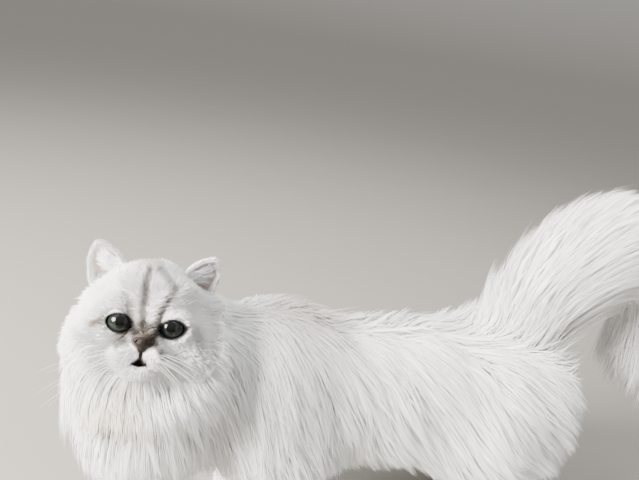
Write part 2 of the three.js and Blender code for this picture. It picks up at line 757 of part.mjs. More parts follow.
const RUFF_COAT = {
  form: ruffForm,
  lie: ruffLie,
  shape: SHORT_LOCK,
  count: 37,
  seed: 31,
  length: 88,
  width: 62,
  thick: 9,
  rise: 1.9,
  root(share, angle) {
    const lean = Math.acos(0.84 - 1.66 * share);
    const across = new THREE.Vector3().crossVectors(FACING, at(0, 0, 1)).normalize();
    const up = new THREE.Vector3().crossVectors(across, FACING);
    const direction = FACING.clone().multiplyScalar(Math.cos(lean));
    direction.addScaledVector(across, Math.sin(lean) * Math.cos(angle));
    direction.addScaledVector(up, Math.sin(lean) * Math.sin(angle));
    const root = rootAt(neckCoreForm, ROOT_DEPTH, RUFF_CENTRE, direction);
    return torsoForm(root) > -12 && headSide(root) > 4 ? root : null;
  },
};

const tailCoat = (part) => ({
  form: tailForm,
  lie: tailLie,
  shape: LONG_LOCK,
  count: [20, 15, 14][part],
  seed: 31 + part,
  length: [102, 94, 134][part],
  width: 50,
  thick: 9,
  rise: [4, 3, 2.4][part],
  root(share, angle) {
    const [first, last] = [TAIL_JOINS[part] + 0.02, TAIL_JOINS[part + 1] - 0.02];
    const { point, along } = tailAt(first + (last - first) * share ** 1.4);
    const side = new THREE.Vector3().crossVectors(along, at(0, 1, 0)).normalize();
    const over = new THREE.Vector3().crossVectors(side, along);
    const direction = side.multiplyScalar(Math.cos(angle)).addScaledVector(over, Math.sin(angle));
    const root = rootAt(tailCoreForm, ROOT_DEPTH + 1, point, direction);
    return torsoForm(root) > -34 ? root : null;
  },
});

const legCoat = (name) => ({
  form: (p) => legSide(name, p) - legDepth(p),
  lie: legLie,
  shape: SHORT_LOCK,
  count: 6,
  seed: 57 + name.length,
  length: 50,
  width: 30,
  thick: 5,
  rise: 1.5,
  root(share, angle) {
    const curve = new THREE.CatmullRomCurve3(limbPath(name));
    const centre = curve.getPoint(0.28 + 0.56 * share);
    const direction = at(Math.cos(angle), Math.sin(angle), 0);
    return rootAt((p) => legSide(name, p), -1, centre, direction);
  },
});

const HEAD_COAT = {
  form: headForm,
  lie(p) {
    const side = Math.sign(p.x);
    const crown = ease(p.z, 6, 36);
    return at(side * (0.55 - 0.2 * crown), 0.35 + 0.9 * crown, -0.75 * (1 - crown));
  },
  shape: SHORT_LOCK,
  count: 24,
  seed: 7,
  length: 38,
  width: 30,
  thick: 6,
  rise: 1.5,
  scale: (p) => 1 + 0.5 * ease(p.y, -16, 10) * (1 - ease(p.z, 0, 24)),
  root(share, angle) {
    const lean = THREE.MathUtils.degToRad(56 + 66 * share);
    const aside = Math.sin(lean);
    const direction = at(Math.cos(angle) * aside, -Math.cos(lean), Math.sin(angle) * aside);
    const root = rootAt(headSkin, 5, at(0, 0, 0), direction);
    const nearEye = Math.min(root.distanceTo(EYE), at(-root.x, root.y, root.z).distanceTo(EYE)) < 26;
    const inNeck = neckCoreForm(root.clone().applyMatrix4(outOfHead)) < -3;
    return nearEye || inNeck || root.z < -30 ? null : root;
  },
};

// The head's own frame, and the way into it from the body's.
const head = new THREE.Group();
head.position.copy(SKULL);
head.rotation.copy(HEAD_TURN);
const toBody = (made) => made.transform(outOfHead.elements);
const toHead = (made) => made.transform(intoHead.elements);

// Pieces in the order in which they keep their shape: each core is cut clear of the cores before
// it, and locks are cut clear of every other core and of the locks before them.
const BODY = [
  { name: 'torso', core: torsoCore, coat: TORSO_COAT },
  { name: 'neck', core: neckCore, coat: RUFF_COAT },
  ...['tail_base', 'tail_middle', 'tail_tip'].map((name, part) => ({
    name, core: (grow) => tailCore(part, grow), coat: tailCoat(part),
  })),
  ...LIMB_NAMES.map((name) => ({
    name, core: (grow) => legCore(name, grow), coat: legCoat(name),
  })),
];
const LOCK_ORDER = ['neck', 'torso', 'tail_base', 'tail_middle', 'tail_tip', ...LIMB_NAMES];

const earPair = (grow) => [earSolid(grow), mirroredX(earSolid(grow))];
const headLocks = (grow) => joined(locks(HEAD_COAT, grow));
const fixed = toBody(joined([headBack(GAP), ...earPair(GAP)]));
const cores = Object.fromEntries(BODY.map(({ name, core }) => [name, core(0)]));
const clears = Object.fromEntries(BODY.map(({ name, core }) => [name, core(GAP)]));

const bodySolids = {};
let cut = fixed;
for (const { name } of BODY) {
  bodySolids[name] = largest(cores[name].subtract(cut));
  cut = cut.add(clears[name]);
}
const headCoat = headLocks(0).subtract(toHead(clears.neck.subtract(fixed)).add(joined(earPair(GAP))));
let lockCut = fixed.add(toBody(headLocks(GAP)));
for (const name of LOCK_ORDER) {
  const { coat } = BODY.find((piece) => piece.name === name);
  const others = Object.keys(clears).filter((other) => other !== name).map((other) => clears[other]);
  const blocked = joined(others).subtract(bodySolids[name]).add(lockCut).add(floor());
  const coatSolid = joined(locks(coat, 0)).subtract(blocked);
  bodySolids[name] = bodySolids[name].subtract(toBody(headLocks(GAP))).add(coatSolid).subtract(floor());
  lockCut = lockCut.add(joined(locks(coat, GAP)));
}

const fur = new THREE.MeshStandardMaterial({ color: 0xf2f1ec, roughness: 0.9 });
const leather = new THREE.MeshStandardMaterial({ color: 0x9a6a60, roughness: 0.6 });
const iris = new THREE.MeshStandardMaterial({ color: 0x66766a, roughness: 0.1 });

const group = new THREE.Group();
group.add(head);

function show(parent, name, made, material) {
  const kept = largest(made).getMesh();
  const geometry = new THREE.BufferGeometry();
  geometry.setAttribute('position', new THREE.BufferAttribute(new Float32Array(kept.vertProperties), 3));
  geometry.setIndex(Array.from(kept.triVerts));
  const mesh = new THREE.Mesh(geometry, material);
  mesh.name = name;
  parent.add(mesh);
}

show(head, 'head', headSolid().add(headCoat.subtract(eyeRoom())), fur);
const [earLeft, earRight] = earPair(0);
show(head, 'eye_left', eyeSolid(), iris);
show(head, 'eye_right', mirroredX(eyeSolid()), iris);
show(head, 'ear_left', earLeft.subtract(headBack(GAP)), fur);
show(head, 'ear_right', earRight.subtract(headBack(GAP)), fur);
show(head, 'nose', noseSolid().subtract(joined([nostril(), mirroredX(nostril())])), leather);
for (const { name } of BODY) show(group, name, bodySolids[name], fur);

// The origin is on the floor, under the middle of the whole cat.
const reach = new THREE.Box3().setFromObject(group, true);
const middle = reach.getCenter(at(0, 0, 0));
group.position.set(-middle.x, -middle.y, -reach.min.z);
group.updateMatrixWorld(true);

export default group;
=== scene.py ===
"""A white longhaired cat at life size: skin, eyes, nose leather, whiskers and a combed coat.

Shapes are worked out in millimetres in the body's frame, where the floor is at Z = 0, the body
points to -X and the cat's left side to -Y. They go into the scene in metres.
"""
import json
import math

import bpy
import numpy as np
from mathutils import Matrix, Vector
from mathutils.kdtree import KDTree

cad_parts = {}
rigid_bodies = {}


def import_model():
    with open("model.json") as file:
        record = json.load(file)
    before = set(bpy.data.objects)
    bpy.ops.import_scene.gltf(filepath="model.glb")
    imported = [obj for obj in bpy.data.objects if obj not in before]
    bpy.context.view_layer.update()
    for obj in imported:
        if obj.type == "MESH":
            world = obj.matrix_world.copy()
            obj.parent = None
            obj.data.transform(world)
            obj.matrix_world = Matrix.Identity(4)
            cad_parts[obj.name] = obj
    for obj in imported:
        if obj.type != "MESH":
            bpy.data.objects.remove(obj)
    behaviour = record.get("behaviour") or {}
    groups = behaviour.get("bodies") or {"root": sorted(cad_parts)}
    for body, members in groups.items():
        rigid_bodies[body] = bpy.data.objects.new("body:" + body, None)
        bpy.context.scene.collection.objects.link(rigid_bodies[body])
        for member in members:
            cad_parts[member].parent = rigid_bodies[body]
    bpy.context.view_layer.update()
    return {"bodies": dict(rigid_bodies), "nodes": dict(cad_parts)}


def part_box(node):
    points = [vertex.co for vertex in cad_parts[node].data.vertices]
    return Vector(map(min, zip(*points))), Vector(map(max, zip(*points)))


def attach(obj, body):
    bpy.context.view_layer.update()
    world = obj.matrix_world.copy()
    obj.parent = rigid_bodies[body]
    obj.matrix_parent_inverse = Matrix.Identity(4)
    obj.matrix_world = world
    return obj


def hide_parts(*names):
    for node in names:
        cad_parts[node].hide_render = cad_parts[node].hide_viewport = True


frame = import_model()
BODY = next(iter(frame["bodies"]))


def at(x, y, z):
    return np.array((x, y, z), float)


def linear(code):
    """An sRGB hex colour as linear values."""
    values = [int(code[i:i + 2], 16) / 255 for i in (0, 2, 4)]
    return np.array([v / 12.92 if v <= 0.04045 else ((v + 0.055) / 1.055) ** 2.4 for v in values])


# Driving sizes, the same as the solids have.

CHEST, LOIN, CROUP = at(-112, 0, 171), at(20, 0, 173), at(112, 0, 176)
NECK_LOW, NECK_HIGH = at(-142, -6, 194), at(-226, -46, 238)
FRONT_FOOT, REAR_FOOT = at(-138, 43, 13), at(134, 46, 13)
SKULL = at(-251, -57, 260)
HEAD_PITCH, HEAD_YAW, HEAD_ROLL = (math.radians(turn) for turn in (26, 3.6, 7))
EYE, EYE_RADIUS = at(18.8, -33, 3), 11.5
PUPIL_WIDE, PUPIL_TALL = 6.6, 10
EAR = at(36, 6, 38)
NOSE = at(0, -47, -8)
TAIL_PATH = np.array([
    (140, 0, 212), (147, 2, 268), (180, 5, 318), (226, 8, 343), (274, 11, 333), (306, 13, 296),
    (318, 14, 246),
], float)


def turned(*turns):
    """A turn as an array, from angles in radians and their axes; the last is made first."""
    whole = Matrix.Identity(3)
    for angle, axis in turns:
        whole = whole @ Matrix.Rotation(angle, 3, axis)
    return np.array(whole)


HEAD_TURN = turned((HEAD_YAW, "Z"), (-HEAD_PITCH, "X"), (HEAD_ROLL, "Y"))
FACING = HEAD_TURN @ at(0, -1, 0)


def out_of_head(p):
    return p @ HEAD_TURN.T + SKULL


def into_head(p):
    return (p - SKULL) @ HEAD_TURN


eye_low, eye_high = (np.array(corner) * 1000 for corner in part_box("eye_left"))
SHIFT = (eye_low + eye_high) / 2 - out_of_head(EYE)


def ease(x, low, high):
    share = np.clip((x - low) / (high - low), 0, 1)
    return share * share * (3 - 2 * share)


def unit(v):
    return v / np.maximum(np.linalg.norm(v, axis=-1, keepdims=True), 1e-9)


# Flesh as fields: about the distance of points to the skin, negative inside.


def bar(a, b, radius_a, radius_b, wide=1.0):
    """A rounded bar from a to b; wide is its size across Y as a share of its size along Z."""
    a, b = np.array(a, float), np.array(b, float)
    along = b - a
    square = max(along @ along, 1e-6)

    def field(p):
        share = np.clip((p - a) @ along / square, 0, 1)
        q = p - a - share[:, None] * along
        x, y, z = q[:, 0], q[:, 1] / wide, q[:, 2]
        reach = np.sqrt(x * x + y * y + z * z)
        slope = np.sqrt(x * x + (y / wide) ** 2 + z * z) / np.maximum(reach, 1e-6)
        return (reach - radius_a + (radius_a - radius_b) * share) / np.maximum(slope, 0.5)

    return field


def ball(centre, rx, ry, rz):
    centre, size = np.array(centre, float), at(rx, ry, rz)

    def field(p):
        q = (p - centre) / size
        reach = np.linalg.norm(q, axis=1)
        slope = np.linalg.norm(q / size, axis=1)
        return np.where(slope > 1e-6, reach * (reach - 1) / np.maximum(slope, 1e-6), -min(size))

    return field


def fillet(a, b, soft):
    return np.maximum(soft - np.abs(a - b), 0) ** 2 / (4 * soft)


def blend(soft, *fields):
    """The union of fields, with a fillet about as wide as soft."""

    def field(p):
        total = fields[0](p)
        for other in fields[1:]:
            value = other(p)
            total = np.minimum(total, value) - fillet(total, value, soft)
        return total

    return field


def carve(soft, kept, taken):
    def field(p):
        a, b = kept(p), -taken(p)
        return np.maximum(a, b) + fillet(a, b, soft)

    return field


def folded(p, axis):
    """Points brought to the positive side of the plane across an axis."""
    q = p.copy()
    q[:, axis] = np.abs(q[:, axis])
    return q


def both_sides(field, axis):
    return lambda p: field(folded(p, axis))


def curve_points(path, shares):
    """Points of the centripetal curve through a path."""
    ends = np.vstack([2 * path[0] - path[1], path, 2 * path[-1] - path[-2]])
    points = []
    for share in shares:
        place = share * (len(path) - 1)
        i = min(int(place), len(path) - 2)
        t = place - i
        p0, p1, p2, p3 = ends[i:i + 4]
        d0, d1, d2 = (np.linalg.norm(b - a) ** 0.5 for a, b in ((p0, p1), (p1, p2), (p2, p3)))
        m1 = ((p1 - p0) / d0 - (p2 - p0) / (d0 + d1) + (p2 - p1) / d1) * d1
        m2 = ((p2 - p1) / d1 - (p3 - p1) / (d1 + d2) + (p3 - p2) / d2) * d1
        a = 2 * p1 - 2 * p2 + m1 + m2
        b = -3 * p1 + 3 * p2 - 2 * m1 - m2
        points.append(((a * t + b) * t + m1) * t + p1)
    return np.array(points)


torso_flesh = blend(
    26,
    bar(CHEST, LOIN, 54, 49, 0.87),
    bar(LOIN, CROUP, 49, 45, 0.87),
    bar((-152, -3, 168), (-130, 0, 160), 38, 40),
    bar((-104, 0, 194), (-164, -12, 207), 30, 28),
    both_sides(bar((-132, 28, 202), (-122, 42, 138), 18, 25), 1),
    both_sides(bar((104, 30, 190), (92, 42, 142), 30, 31), 1),
)
neck_flesh = blend(18, bar(NECK_LOW, NECK_HIGH, 42, 28), ball((-240, -47, 186), 39, 27, 48))
front_leg = blend(
    14,
    bar((-112, 41, 150), (-112, 43, 112), 21, 18),
    bar((-112, 43, 112), (-128, 43, 46), 17, 13),
    bar((-128, 43, 46), (-130, 43, 22), 13, 13),
)
rear_leg = blend(
    14,
    bar((98, 41, 150), (98, 48, 118), 30, 26),
    bar((98, 48, 118), (168, 46, 64), 24, 12),
    bar((168, 46, 64), (156, 46, 22), 12, 12),
)


def paw(foot):
    toes = [(-18, -12.5), (-24, -4.6), (-24, 4.6), (-18, 12.5)]
    return blend(
        2.5,
        ball(foot + at(-1, 0, 1), 23, 16.5, 13),
        *[ball((foot[0] + x, foot[1] + y, 9.5), 9.5, 6.2, 9) for x, y in toes],
    )


leg_flesh = both_sides(
    blend(1, blend(9, front_leg, paw(FRONT_FOOT)), blend(9, rear_leg, paw(REAR_FOOT))), 1,
)

TAIL_STEPS, TAIL_STEP = 24, 12  # along the tail: how many, and about how long
TAIL_SHARES = np.linspace(0, 1, TAIL_STEPS + 1)
TAIL_POINTS = curve_points(TAIL_PATH, TAIL_SHARES)
TAIL_ALONG = unit(np.gradient(TAIL_POINTS, axis=0))
TAIL_BONE = 10 - 3 * TAIL_SHARES


def tail_distances(p):
    return np.linalg.norm(p[:, None] - TAIL_POINTS, axis=2)


def from_tail(p):
    """The number of the nearest point of the tail's middle line, and the way from it."""
    nearest = tail_distances(p).argmin(axis=1)
    return nearest, p - TAIL_POINTS[nearest]


def tail_flesh(p):
    return (tail_distances(p) - TAIL_BONE).min(axis=1)


SOLE_HEIGHT = 1.2  # how far the skin of the paws stands over the floor


def body_flesh(p):
    flesh = blend(12, blend(14, torso_flesh, neck_flesh, tail_flesh), leg_flesh)(p)
    return np.maximum(flesh, SOLE_HEIGHT - p[:, 2])


# The head, in its own frame: the face looks to -Y and X runs to the cat's left.

skull_flesh = carve(
    4,
    blend(
        9,
        ball((0, 4, 9), 42, 42, 42),
        ball((0, -18, 20), 31, 25, 25),
        both_sides(ball((27, -12, -12), 24, 25, 24), 0),
        ball((0, -12, -22), 27, 27, 16),
        both_sides(ball((22, -20, 3), 18, 19, 17), 0),
        both_sides(ball((8.5, -38, -19), 11, 12, 9.5), 0),
        ball((0, -36, -28), 11, 11, 7.5),
        bar((0, -34, 8), (0, -43, -6), 8, 8),
    ),
    both_sides(ball((19.4, -52, 3), 13, 9.5, 10.5), 0),
)
LID_THICK = 1.3
LID_RADIUS = EYE_RADIUS + LID_THICK
SLIT_WIDTH, SLIT_HEIGHT = 19.4, 13.6
SLIT_TURN = turned((math.radians(1), "Z"), (math.radians(3), "X"), (math.radians(-8), "Y"))


def slit(p):
    """How far outside the opening of the left eye's lids a place is, seen from in front of it."""
    q = (p - EYE) @ SLIT_TURN
    x, z = q[:, 0] / (SLIT_WIDTH / 2), q[:, 2] / (SLIT_HEIGHT / 2)
    almond = np.sqrt(np.abs(x) ** 1.8 + z ** 2 / (1.001 - 0.2 * np.minimum(np.abs(x), 1) ** 3))
    return (almond - 1) * SLIT_HEIGHT / 2, q[:, 1]


def lid_opening(p):
    outside, ahead = slit(p)
    return np.maximum(outside, ahead + 3)


def reach_of(field, centre, direction, far=90.0):
    """How far from each centre, along its direction, the field comes out of the flesh."""
    low, high = np.zeros(len(centre)), np.full(len(centre), far)
    for _ in range(22):
        middle = (low + high) / 2
        inside = field(centre + direction * middle[:, None]) < 0
        low, high = np.where(inside, middle, low), np.where(inside, high, middle)
    return high


def on_face(x, z, deep=0.0):
    reach = reach_of(skull_flesh, np.array([(x, 0.0, z)]), np.array([(0, -1.0, 0)]))[0]
    return at(x, deep - reach, z)


def line_field(points, radius):
    pieces = [bar(a, b, radius, radius) for a, b in zip(points, points[1:])]
    return lambda p: np.minimum.reduce([piece(p) for piece in pieces])


GAPE = [(0, -19), (-5.5, -25), (0, -26.5), (5.5, -25)]
MOUTH_CORNERS = [(4, -24), (9, -27), (15, -27.5), (21, -24)]
mouth_line = both_sides(line_field([on_face(x, z) for x, z in MOUTH_CORNERS], 1.1), 0)
philtrum = line_field([on_face(0, z) for z in (-13, -16, -20)], 0.9)
GAPE_BACK = on_face(0, -23, 7)[1]


def gape(p):
    """The small parted mouth, a prism on four corners seen from the front."""
    x, z = p[:, 0], p[:, 2]
    sides = [GAPE_BACK - 60 - p[:, 1], p[:, 1] - GAPE_BACK]
    for (x0, z0), (x1, z1) in zip(GAPE, GAPE[1:] + GAPE[:1]):
        long = math.hypot(x1 - x0, z1 - z0)
        sides.append(((x - x0) * (z1 - z0) - (z - z0) * (x1 - x0)) / long)
    return np.maximum.reduce(sides)


# Folds of the brow and the creases beside the nose, as x and z seen from the front.
BROW_FOLDS = [
    [(-2.5, 5), (-4.5, 14), (-4.2, 25), (-5, 34)],
    [(7.5, 4), (8.2, 13), (10.4, 19), (14.2, 28)],
    [(-14, 7), (-13.8, 15), (-18, 22)],
]
NOSE_FOLDS = [[(7.5, -5), (11.8, -13), (20, -20)], [(-10.5, -4), (-14.2, -9), (-19, -15)]]
face_folds = [
    line_field([on_face(x, z) for x, z in fold], 1.2) for fold in BROW_FOLDS + NOSE_FOLDS
]

lids = both_sides(ball(EYE, LID_RADIUS, LID_RADIUS, LID_RADIUS), 0)
face_flesh = carve(
    0.8,
    carve(
        3.5,
        blend(5, skull_flesh, lids),
        lambda p: np.minimum.reduce([fold(p) for fold in face_folds]),
    ),
    lambda p: np.minimum.reduce([
        both_sides(lid_opening, 0)(p), mouth_line(p), philtrum(p), gape(p),
    ]),
)


# Closed skins.


def in_parts(field, p, most=40000):
    return np.concatenate([field(part) for part in np.array_split(p, len(p) // most + 1)])


def skin_of(field, low, high, size):
    """The skin of a field in a box, as points and squares, by a grid of cells of one size."""
    low, high = np.array(low, float), np.array(high, float)
    counts = np.ceil((high - low) / size).astype(int) + 1
    axes = [low[k] + size * np.arange(counts[k]) for k in range(3)]
    places = np.stack(np.meshgrid(*axes, indexing="ij"), -1).reshape(-1, 3)
    # Only blocks of cells near the skin are worked out in full.
    block_size = 4 * size
    block = np.round((places - low) / block_size).astype(int)
    spots, member = np.unique(block, axis=0, return_inverse=True)
    rough = in_parts(field, low + spots * block_size)[member.ravel()]
    near = np.abs(rough) < 1.25 * block_size
    rough[near] = in_parts(field, places[near])
    inside = (rough < 0).reshape(counts)
    cells = counts - 1
    corners = sum(
        inside[i:i + cells[0], j:j + cells[1], k:k + cells[2]].astype(int)
        for i in (0, 1) for j in (0, 1) for k in (0, 1)
    )
    crossed = (corners > 0) & (corners < 8)
    number = np.full(cells, -1)
    number[crossed] = np.arange(crossed.sum())
    middle = low + size * (np.argwhere(crossed) + 0.5)
    points = middle.copy()
    for _ in range(5):
        points -= slope_of(field, points) * field(points)[:, None] * 0.9
        points = np.clip(points, middle - 0.8 * size, middle + 0.8 * size)
    squares = []
    for axis in range(3):
        a, b = (axis + 1) % 3, (axis + 2) % 3
        first = np.take(inside, range(0, counts[axis] - 1), axis=axis)
        second = np.take(inside, range(1, counts[axis]), axis=axis)
        for start, flipped in ((first & ~second, False), (~first & second, True)):
            cell = np.argwhere(start)
            cell = cell[(cell[:, a] > 0) & (cell[:, b] > 0)]
            around = []
            for back_a, back_b in ((1, 1), (0, 1), (0, 0), (1, 0)):
                spot = cell.copy()
                spot[:, a] -= back_a
                spot[:, b] -= back_b
                around.append(number[tuple(spot.T)])
            squares.append(np.stack(around[::-1] if flipped else around, 1))
    return points, np.concatenate(squares)


def slope_of(field, p, step=0.3):
    """The unit way out of a field."""
    moves = np.eye(3) * step
    return unit(np.stack([field(p + move) - field(p - move) for move in moves], -1))


def tris_of(squares):
    return np.concatenate([squares[:, [0, 1, 2]], squares[:, [0, 2, 3]]])


def mesh_of(name, points, faces):
    """A smooth mesh object from points in the body's frame, in metres in the scene."""
    mesh = bpy.data.meshes.new(name)
    sides = faces.shape[1]
    mesh.vertices.add(len(points))
    mesh.vertices.foreach_set("co", ((points + SHIFT) / 1000).astype(np.float32).ravel())
    mesh.loops.add(len(faces) * sides)
    mesh.loops.foreach_set("vertex_index", faces.astype(np.int32).ravel())
    mesh.polygons.add(len(faces))
    mesh.polygons.foreach_set("loop_start", np.arange(len(faces), dtype=np.int32) * sides)
    mesh.polygons.foreach_set("use_smooth", np.ones(len(faces), bool))
    mesh.update(calc_edges=True)
    made = bpy.data.objects.new(name, mesh)
    bpy.context.scene.collection.objects.link(made)
    return made


def sleeve(first, rings, count):
    """Triangles between rings of points, the first at a number and each of one count."""
    faces = []
    for start in range(first, first + (rings - 1) * count, count):
        for j in range(count):
            a, b = start + j, start + (j + 1) % count
            faces += [(a, b, b + count), (a, b + count, a + count)]
    return faces


def fan(first, count, tip):
    """Triangles from a ring of points to a tip."""
    return [(first + j, first + (j + 1) % count, tip) for j in range(count)]


def outward(points, faces):
    """The faces of a closed skin, turned over where they point inwards."""
    faces = np.array(faces)
    a, b, c = (points[faces[:, k]] for k in range(3))
    return faces if np.einsum("ij,ij->", a, np.cross(b, c)) > 0 else faces[:, ::-1]


def places_of(made):
    points = np.empty(len(made.data.vertices) * 3, np.float32)
    made.data.vertices.foreach_get("co", points)
    return points.reshape(-1, 3).astype(float) * 1000 - SHIFT


def triangles_of(made):
    made.data.calc_loop_triangles()
    corners = np.empty(len(made.data.loop_triangles) * 3, np.int32)
    made.data.loop_triangles.foreach_get("vertices", corners)
    return corners.reshape(-1, 3)


def fused(first, others):
    """First with the others joined to it in one closed skin."""
    for other in others:
        join = first.modifiers.new("join", "BOOLEAN")
        join.operation, join.solver, join.object = "UNION", "MANIFOLD", other
    graph = bpy.context.evaluated_depsgraph_get()
    mesh = bpy.data.meshes.new_from_object(first.evaluated_get(graph))
    first.modifiers.clear()
    first.data = mesh
    for other in others:
        bpy.data.objects.remove(other)
    return first


# Ears: cups that open to the front and side, with a thin rounded rim.

EAR_HEIGHT, EAR_SINK, EAR_WIDTH, EAR_WALL = 36, 10, 33, 2.4
EAR_TURN = turned((math.radians(19), "Y"), (math.radians(24), "Z"), (math.radians(14), "X"))
EAR_UP = EAR_TURN[:, 2]


def ear_cup(share):
    """The half angle and the radius of the cup of the ear at a share of its height."""
    width = EAR_WIDTH * (1 - share * share) ** 0.55
    cup = 1.25 - 0.75 * share
    return cup, width / 2 / np.sin(cup)


def ear_place(share, aside, deep):
    """A place on the left ear: aside -1 at its front edge to 1, deep 0 in the cup to 1 behind."""
    cup, radius = ear_cup(share)
    edge = np.sqrt(np.maximum(1 - np.minimum(np.abs(aside), 1) ** 6, 0))
    size = radius + EAR_WALL * (1 - 0.35 * share) * (0.3 + 0.7 * edge) * deep
    x, y = size * np.sin(cup * aside), size * np.cos(cup * aside) - radius * np.cos(cup)
    z = EAR_HEIGHT * share - EAR_SINK + 0 * x
    return np.stack([x, y, z], -1) @ EAR_TURN.T + EAR


def in_ear_cup(q):
    """How much a place of the head lies on the inside of an ear."""
    p = (folded(q, 0) - EAR) @ EAR_TURN
    share = np.clip((p[:, 2] + EAR_SINK) / EAR_HEIGHT, 0, 0.98)
    cup, radius = ear_cup(share)
    reach = np.hypot(p[:, 0], p[:, 1] + radius * np.cos(cup))
    aside = np.abs(np.arctan2(p[:, 0], p[:, 1] + radius * np.cos(cup))) / cup
    near = (np.abs(reach - radius) < 0.8) & (p[:, 2] > -6) & (p[:, 2] < 30)
    return near * (1 - ease(aside, 0.7, 0.97)) * (1 - ease(share, 0.75, 0.95))


def ear_shell(side):
    columns, rows = 17, 20
    shares = np.sin(np.linspace(0, 1, rows + 1)[:-1] * math.pi / 2) ** 1.1
    across = np.linspace(1, -1, columns)
    points = []
    for share in shares:
        points += [ear_place(share, across, 0.0), ear_place(share, across[::-1], 1.0)]
    points = np.vstack(points + [ear_place(0.999, np.array([0.0]), 0.5)])
    points[:, 0] *= side
    count = 2 * columns
    faces = sleeve(0, rows, count) + fan((rows - 1) * count, count, len(points) - 1)
    for j in range(columns - 1):
        a, b, c, d = j, j + 1, count - 2 - j, count - 1 - j
        faces += [(a, d, b), (b, d, c)]
    return mesh_of("ear", out_of_head(points), outward(points, faces))


# Markings and painted shade, the same on the skin and on the hair that grows from it.

WHITE, CREAM, TAUPE = linear("fcfcfb"), linear("f1ead8"), linear("b3a99e")
GREY, SMOKE, BROWN = linear("a29e99"), linear("69635c"), linear("5a4d45")
LEATHER, RIM, LIP, PINK = linear("40342f"), linear("262120"), linear("382b28"), linear("cfaca5")

# Lines of the face, as x and z seen from the front, with width, colour and strength; those in the
# folds of brow and nose and down the left cheek are painted shade.
FACE_LINES = [
    # Painted shade in the two middle folds of the brow.
    ([(-2.5, 4), (-4.5, 14), (-4.2, 25), (-5.5, 36), (-4.5, 46)], 4.0, SMOKE, 0.78),
    ([(7, 0), (8.2, 13), (10.4, 19), (14.2, 28), (16.5, 34)], 4.0, SMOKE, 0.74),
    ([(16.5, 34), (10.5, 40), (3, 47)], 5.0, GREY, 0.8),
    # Painted shade in the fold of the brow over the right eye.
    ([(-14, 6), (-13.8, 15), (-19.5, 24)], 5.0, GREY, 0.6),
    # Painted shade in the creases beside the nose.
    ([(-11.6, 0), (-14.2, -9), (-18.4, -14)], 3.8, BROWN, 0.9),
    ([(6.5, -4), (11.8, -13), (18, -19)], 3.4, BROWN, 0.8),
    ([(-29, 4), (-38, -1)], 3.6, TAUPE, 1.0),
    ([(26, 4), (31, 5)], 3.2, SMOKE, 0.9),
    # Painted shade down the left cheek, where no fold is carved.
    ([(38, 3), (44, -8), (45, -15)], 6.0, GREY, 0.5),
]


def mixed(colour, other, share):
    return colour + (other - colour) * np.clip(share, 0, 1)[:, None]


def stroke(q, points, width):
    """How much a place lies on a line drawn on the face, as x and z seen from the front."""
    nearest = np.full(len(q), 1e9)
    for (x0, z0), (x1, z1) in zip(points, points[1:]):
        run, rise = x1 - x0, z1 - z0
        share = ((q[:, 0] - x0) * run + (q[:, 2] - z0) * rise) / (run * run + rise * rise)
        share = np.clip(share, 0, 1)
        gap = np.hypot(q[:, 0] - x0 - share * run, q[:, 2] - z0 - share * rise)
        nearest = np.minimum(nearest, gap)
    return 1 - ease(nearest, 0.25 * width, width)


def patch(q, centre, size):
    return 1 - ease(np.linalg.norm((q - centre) / size, axis=1), 0.5, 1.15)


def body_markings(p):
    colour = np.repeat(WHITE[None], len(p), 0)
    colour = mixed(colour, TAUPE, 0.62 * patch(p, at(-108, 0, 240), at(60, 56, 34)))
    return mixed(colour, CREAM, 0.8 * patch(p, at(-262, -92, 200), at(38, 36, 30)))


# Markings of coat and face, with painted shade in the folds of the face and round the eyes.
def markings_and_shade(p):
    colour = body_markings(p)
    q = into_head(p)
    face = ease(-q[:, 1], -6, 10) * (1 - ease(np.linalg.norm(q, axis=1), 62, 76))
    colour = mixed(colour, TAUPE, 0.85 * patch(q, at(-5, -8, 52), at(14, 22, 12)))
    # Lines of the face: those in its folds and down the left cheek are painted shade.
    for points, width, tone, strength in FACE_LINES:
        colour = mixed(colour, tone, strength * face * stroke(q, points, width))
    colour = mixed(colour, SMOKE, face * patch(q, at(-1.5, -49, -1), at(13, 14, 10.5)))
    colour = mixed(colour, BROWN, 0.9 * face * patch(q, at(-0.5, -50, -8), at(10.5, 12, 6)))
    both = folded(q, 0)
    outside, ahead = slit(both)
    rim = (1 - ease(outside, 0.5, 2.0)) * ease(-ahead, 2, 6)
    corner = stroke(both, [(6.5, -3), (10.5, 0)], 4.4) * face
    # Painted shade: a grey band on the lids, fading out over 5 mm round each eye opening.
    socket_shade = (1 - ease(outside, 0.5, 5)) * ease(-ahead, 2, 6)
    colour = mixed(colour, GREY, 0.6 * socket_shade)
    colour = mixed(colour, RIM, np.maximum(rim, 0.9 * corner))
    lips = np.maximum(-philtrum(q), -gape(q))
    return mixed(colour, LIP, face * ease(lips, -1.3, -0.2))


def skin_markings_and_shade(p):
    """The markings and painted shade, with what shows where no hair covers the skin."""
    q = into_head(p)
    colour = mixed(markings_and_shade(p), PINK, 0.75 * in_ear_cup(q))
    return mixed(colour, LEATHER, 1 - ease(nose_flesh(q), 0.8, 2.2))


# The nose leather: a small wide wedge with a comma of nostril on each side.

nostrils = both_sides(line_field([(3, -53, -8), (4, -49.5, -8.6), (6.4, -46, -9.6)], 1.35), 0)
nose_flesh = carve(
    0.6,
    blend(3, ball(NOSE, 7.5, 5, 4.5), bar(NOSE, (0, -48, -13.5), 3.4, 2.2)),
    nostrils,
)


# The coat: its outer form, over the tips of the hair, and the lie of the hair, part by part.

